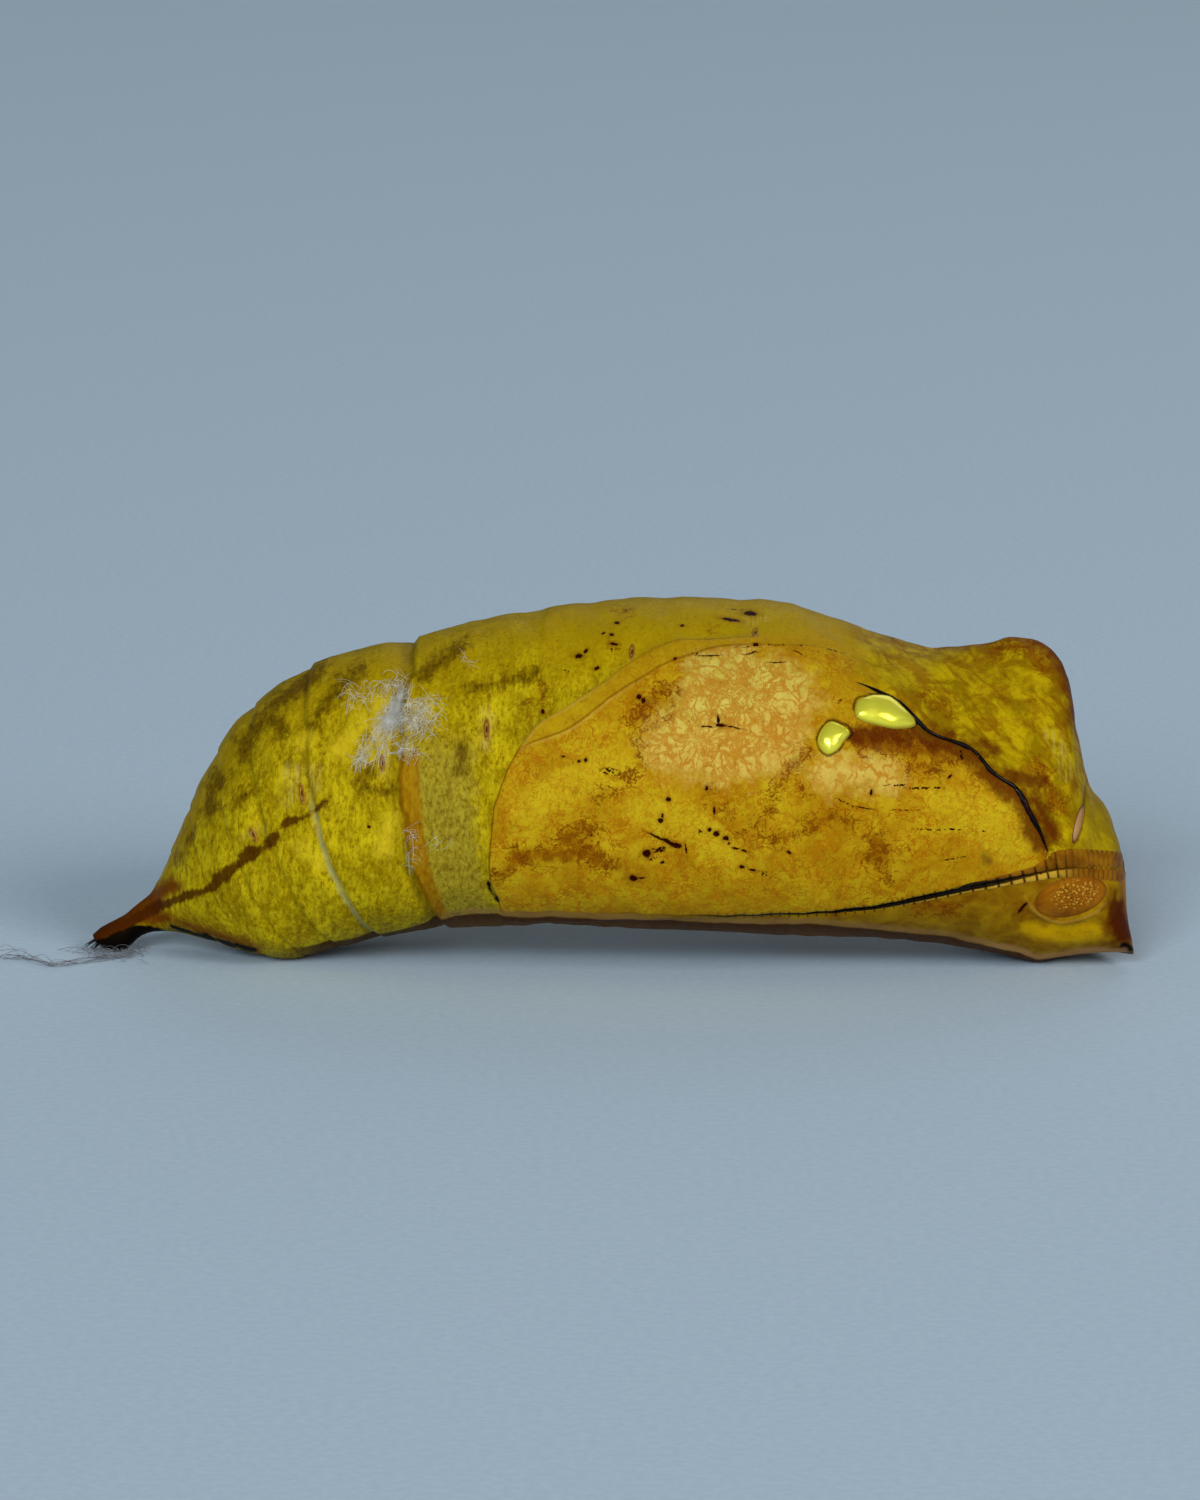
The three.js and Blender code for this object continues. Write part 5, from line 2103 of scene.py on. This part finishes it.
@dataclass(frozen=True)
class EyeFinish:
    """Tan granules over a brown swelling."""

    groups: SharedGroups

    def build(self) -> Material:
        """Makes the material.

        Returns:
            The material.
        """
        material, graph, shader = open_material("eye_cuticle")
        place = graph.place()
        dots = graph.cells(place, 8, "F1").rise(0.5, 0.2)
        grains = graph.mix(dots, tint(132, 76, 6), tint(196, 146, 48))
        mottle = self.groups.mottled(graph, place, 1.4, 0.3, tint(150, 92, 6), tint(112, 58, 4))
        colour = graph.mix(graph.value("pad") * 0.85, mottle, grains)
        # Painted shade round the rim, where the swelling meets the shell.
        rim = graph.value("rimward").rise(0.85, 1)
        graph.feed(shader.inputs["Base Color"], graph.mix(rim * 0.6, colour, tint(104, 54, 5)))
        grain = self.groups.grained(graph, shader, place, 1.4)
        height = grain + dots * graph.value("pad")
        graph.feed(shader.inputs["Normal"], graph.bump(height, 0.3, 0.06))
        shader.inputs["Specular IOR Level"].default_value = 0.14
        shader.inputs["Specular Tint"].default_value = tint(255, 214, 110)
        return material


@dataclass(frozen=True)
class AntennaFinish:
    """Yellow beads between dark joints, browner and darker above the line."""

    groups: SharedGroups

    def build(self) -> Material:
        """Makes the material.

        Returns:
            The material.
        """
        material, graph, shader = open_material("antenna_cuticle")
        place = graph.place()
        along, off = graph.value("along"), graph.value("off")
        upper = graph.value("row").rise(-0.5, 0.5)
        head = along.rise(16.8, 18)
        yellow = self.groups.mottled(graph, place, 1.3, 0.4, tint(190, 152, 50), tint(160, 116, 22))
        brown = graph.mix(graph.noise(place, 1.2, 3).rise(0.4, 0.6), tint(136, 88, 8), tint(112, 66, 5))
        colour = graph.mix(graph.most(upper, head), yellow, brown)
        joint = graph.value("bead").rise(0.72, 0.35)
        depth = head.rise(0, 1, 0.92, 0.5) - upper * off.rise(0.1, 0.3, 0, 0.3)
        colour = graph.mix(joint * depth, colour, tint(44, 18, 4))
        half = along.rise(2, 12.5, 0.012, 0.115) - along.rise(13.6, 17.4, 0, 0.09)
        root = (off - half).rise(0.045, -0.01) * along.rise(18.8, 16.6, 0.3, 1)
        colour = graph.mix(root, colour, graph.mix(along.rise(14.5, 17), tint(12, 8, 5), tint(60, 30, 5)))
        graph.feed(shader.inputs["Base Color"], colour)
        grain = self.groups.grained(graph, shader, place, 1.5)
        graph.feed(shader.inputs["Normal"], graph.bump(grain, 0.25, 0.04))
        shader.inputs["Specular IOR Level"].default_value = 0.12
        shader.inputs["Specular Tint"].default_value = tint(255, 214, 110)
        return material


@dataclass(frozen=True)
class SpiracleFinish:
    """Striped lips round a dark slit, or plain pinkish lips where the slit is closed."""

    groups: SharedGroups

    def build(self) -> Material:
        """Makes the material.

        Returns:
            The material.
        """
        material, graph, shader = open_material("spiracle_cuticle")
        rimward = graph.value("rimward")
        colour = graph.mix(rimward.rise(0.24, 0.36), tint(66, 26, 6), tint(156, 112, 30))
        colour = graph.mix((rimward - 0.66).line(0.05, 0.1) * 0.8, colour, tint(96, 48, 8))
        closed = graph.mix(rimward.rise(0.72, 0.98), tint(168, 124, 74), tint(92, 54, 12))
        colour = graph.mix(graph.value("closed"), colour, closed)
        graph.feed(shader.inputs["Base Color"], colour)
        self.groups.grained(graph, shader, graph.place(), 2)
        shader.inputs["Specular IOR Level"].default_value = 0.12
        return material


@dataclass(frozen=True)
class TarFinish:
    """Wet-looking black cuticle."""

    name: str = "wet_black_cuticle"
    roughness: float = 0.1

    def build(self) -> Material:
        """Makes the material.

        Returns:
            The material.
        """
        material, graph, shader = open_material(self.name)
        place = graph.place()
        colour = graph.mix(graph.noise(place, 1.6, 3).rise(0.45, 0.7), tint(5, 3, 2), tint(36, 8, 2))
        graph.feed(shader.inputs["Base Color"], colour)
        wet = graph.noise(place, 1.1, 2).rise(0.5, 0.56, 0.5, self.roughness)
        graph.feed(shader.inputs["Roughness"], wet)
        graph.feed(shader.inputs["Normal"], graph.bump(graph.noise(place, 1.6, 1), 0.1, 0.06))
        shader.inputs["Specular IOR Level"].default_value = 0.1
        return material


@dataclass(frozen=True)
class SilkFinish:
    """Off-white silk with a soft shine."""

    name: str
    pale: Colour = tint(228, 226, 218)
    shade: Colour = tint(190, 186, 172)

    def build(self) -> Material:
        """Makes the material.

        Returns:
            The material.
        """
        material, graph, shader = open_material(self.name)
        place = graph.place()
        colour = graph.mix(graph.noise(place, 2.5, 3).rise(0.35, 0.65), self.pale, self.shade)
        graph.feed(shader.inputs["Base Color"], colour)
        graph.feed(shader.inputs["Roughness"], graph.noise(place, 9, 2).rise(0.3, 0.7, 0.35, 0.55))
        shader.inputs["Sheen Weight"].default_value = 0.3
        shader.inputs["Sheen Roughness"].default_value = 0.4
        return material


# ---------------------------------------------------------------- stage
@dataclass(frozen=True)
class Paper:
    """The pale blue-grey sheet that the chrysalis lies on."""

    half: float = 1.6  # metres
    colour: Colour = tint(192, 213, 230)
    shade: Colour = tint(185, 207, 225)

    def build(self) -> Piece:
        """Makes the sheet.

        Returns:
            The sheet.
        """
        mesh = bpy.data.meshes.new("paper")
        h = self.half
        mesh.from_pydata([(-h, -h, 0), (h, -h, 0), (h, h, 0), (-h, h, 0)], [], [(0, 1, 2, 3)])
        material, graph, shader = open_material("pale_paper")
        place = graph.place()
        fibres = graph.noise(place, 3.0, 4, 0.6)
        graph.feed(shader.inputs["Base Color"], graph.mix(fibres.rise(0.35, 0.65), self.colour, self.shade))
        graph.feed(shader.inputs["Normal"], graph.bump(fibres, 0.12, 0.1))
        shader.inputs["Roughness"].default_value = 0.8
        mesh.materials.append(material)
        paper = bpy.data.objects.new("paper", mesh)
        bpy.context.scene.collection.objects.link(paper)
        return paper


def stand_light(
    data: bpy.types.Light, target: Vector, azimuth: float, elevation: float, distance: float
) -> None:
    """Stands a light off a target and turns it to face it.

    Args:
        data: The light.
        target: The point that it faces.
        azimuth, elevation: Degrees round from -Y towards +X, and degrees up.
        distance: How far off it stands, in metres.
    """
    a, e = math.radians(azimuth), math.radians(elevation)
    back = Vector((math.sin(a) * math.cos(e), -math.cos(a) * math.cos(e), math.sin(e)))
    light = bpy.data.objects.new(data.name, data)
    light.location = target + back * distance
    light.rotation_euler = (-back).to_track_quat("-Z", "Y").to_euler()
    bpy.context.scene.collection.objects.link(light)


@dataclass(frozen=True)
class Softbox:
    """One soft studio light, turned towards the chrysalis."""

    name: str
    azimuth: float
    elevation: float
    distance: float  # metres
    size: float
    power: float
    colour: Point3

    def build(self, target: Vector) -> None:
        """Makes the light.

        Args:
            target: The point that it faces.
        """
        data = bpy.data.lights.new(self.name, "AREA")
        data.shape, data.size, data.energy, data.color = "DISK", self.size, self.power, self.colour
        stand_light(data, target, self.azimuth, self.elevation, self.distance)


@dataclass(frozen=True)
class WindowLight:
    """A wide soft light from far off, which lights the paper evenly."""

    name: str
    azimuth: float
    elevation: float
    strength: float
    spread: float  # degrees across
    colour: Point3

    def build(self, target: Vector) -> None:
        """Makes the light.

        Args:
            target: The point that it faces.
        """
        data = bpy.data.lights.new(self.name, "SUN")
        data.energy, data.angle, data.color = self.strength, math.radians(self.spread), self.colour
        stand_light(data, target, self.azimuth, self.elevation, 1.0)


@dataclass(frozen=True)
class Studio:
    """Plain soft light: a wide far light and a softbox in front, and an even pale surround."""

    lights: tuple[WindowLight | Softbox, ...] = (
        WindowLight("far_window", -16, 21, 2.05, 20, (0.9, 0.96, 1.0)),
        Softbox("front_softbox", 42, 26, 1.0, 0.4, 4.6, (1.0, 0.97, 0.95)),
        WindowLight("room_light", 165, 30, 0.35, 40, (1.0, 0.98, 0.94)),
    )
    surround: Point3 = (0.8, 0.92, 1.0)
    surround_strength: float = 0.14

    def build(self, target: Vector) -> None:
        """Makes the lights and the surround.

        Args:
            target: The point that the lights face.
        """
        for light in self.lights:
            light.build(target)
        world = bpy.data.worlds.new("pale_surround")
        world.use_nodes = True
        background = world.node_tree.nodes["Background"]
        background.inputs["Color"].default_value = (*self.surround, 1.0)
        background.inputs["Strength"].default_value = self.surround_strength
        bpy.context.scene.world = world
        bpy.context.scene.view_settings.view_transform = "Standard"


@dataclass(frozen=True)
class Viewpoint:
    """The camera: where it stands by the drawing plane's own eye, and how much it takes in."""

    frame_height: float = 57.47  # mm of the keel plane in the picture's long side
    sensor: float = 36.0
    roll: float = math.radians(0.41)

    def build(self, plane: DrawingPlane, place: Placement) -> Piece:
        """Makes the camera and sets it as the scene's own.

        Args:
            plane: The drawing plane, whose eye it shares.
            place: Where the body lies.

        Returns:
            The camera.
        """
        data = bpy.data.cameras.new("camera")
        data.sensor_width = self.sensor
        data.lens = self.sensor * plane.reach / self.frame_height
        data.clip_start, data.clip_end = 0.01, 20.0
        camera = bpy.data.objects.new("camera", data)
        eye, target = place.to_frame(np.array([plane.eye, plane.target]))
        way = Vector(target - eye)
        turn = way.to_track_quat("-Z", "Y").to_matrix().to_4x4() @ Matrix.Rotation(self.roll, 4, "Z")
        camera.matrix_world = Matrix.Translation(Vector(eye)) @ turn
        bpy.context.scene.collection.objects.link(camera)
        bpy.context.scene.camera = camera
        return camera


def main() -> None:
    """Builds the chrysalis on its paper."""
    logging.basicConfig(level=logging.INFO, format="%(name)s: %(message)s")
    low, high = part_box(SHELL_NODE)
    place = Placement(Vector(low), Vector(high))
    plane = DrawingPlane()
    groups = SharedGroups.build()
    shell = PupalShell(place, plane)
    pieces = [shell.build(CuticleFinish(groups).build())]
    landing = Landing.on(shell)
    pieces.append(GoldSpots(landing, place).build(GoldFinish(groups).build()))
    pieces.append(Eyes(landing, place).build(EyeFinish(groups).build()))
    pieces.append(Spiracles(landing, place).build(SpiracleFinish(groups).build()))
    pieces.append(Antennae(landing, place).build(AntennaFinish(groups).build()))
    pieces.append(ShoulderWelt(landing, place).build(TarFinish().build()))
    pieces.append(TailHooks(place).build(TarFinish("hook_cuticle", 0.3).build()))
    pieces.append(SilkWisp(landing, place).build(SilkFinish("wisp_silk").build()))
    grey_silk = SilkFinish("tail_silk", tint(116, 118, 124), tint(74, 72, 76))
    pieces.append(TailSilk(place).build(grey_silk.build()))
    for piece in pieces:
        LOG.info("%s: %d faces", piece.name, len(piece.data.polygons))
    Paper().build()
    target = Vector(place.to_frame(plane.target[None])[0])
    Studio().build(target)
    Viewpoint().build(plane, place)


if __name__ == "__main__":
    main()
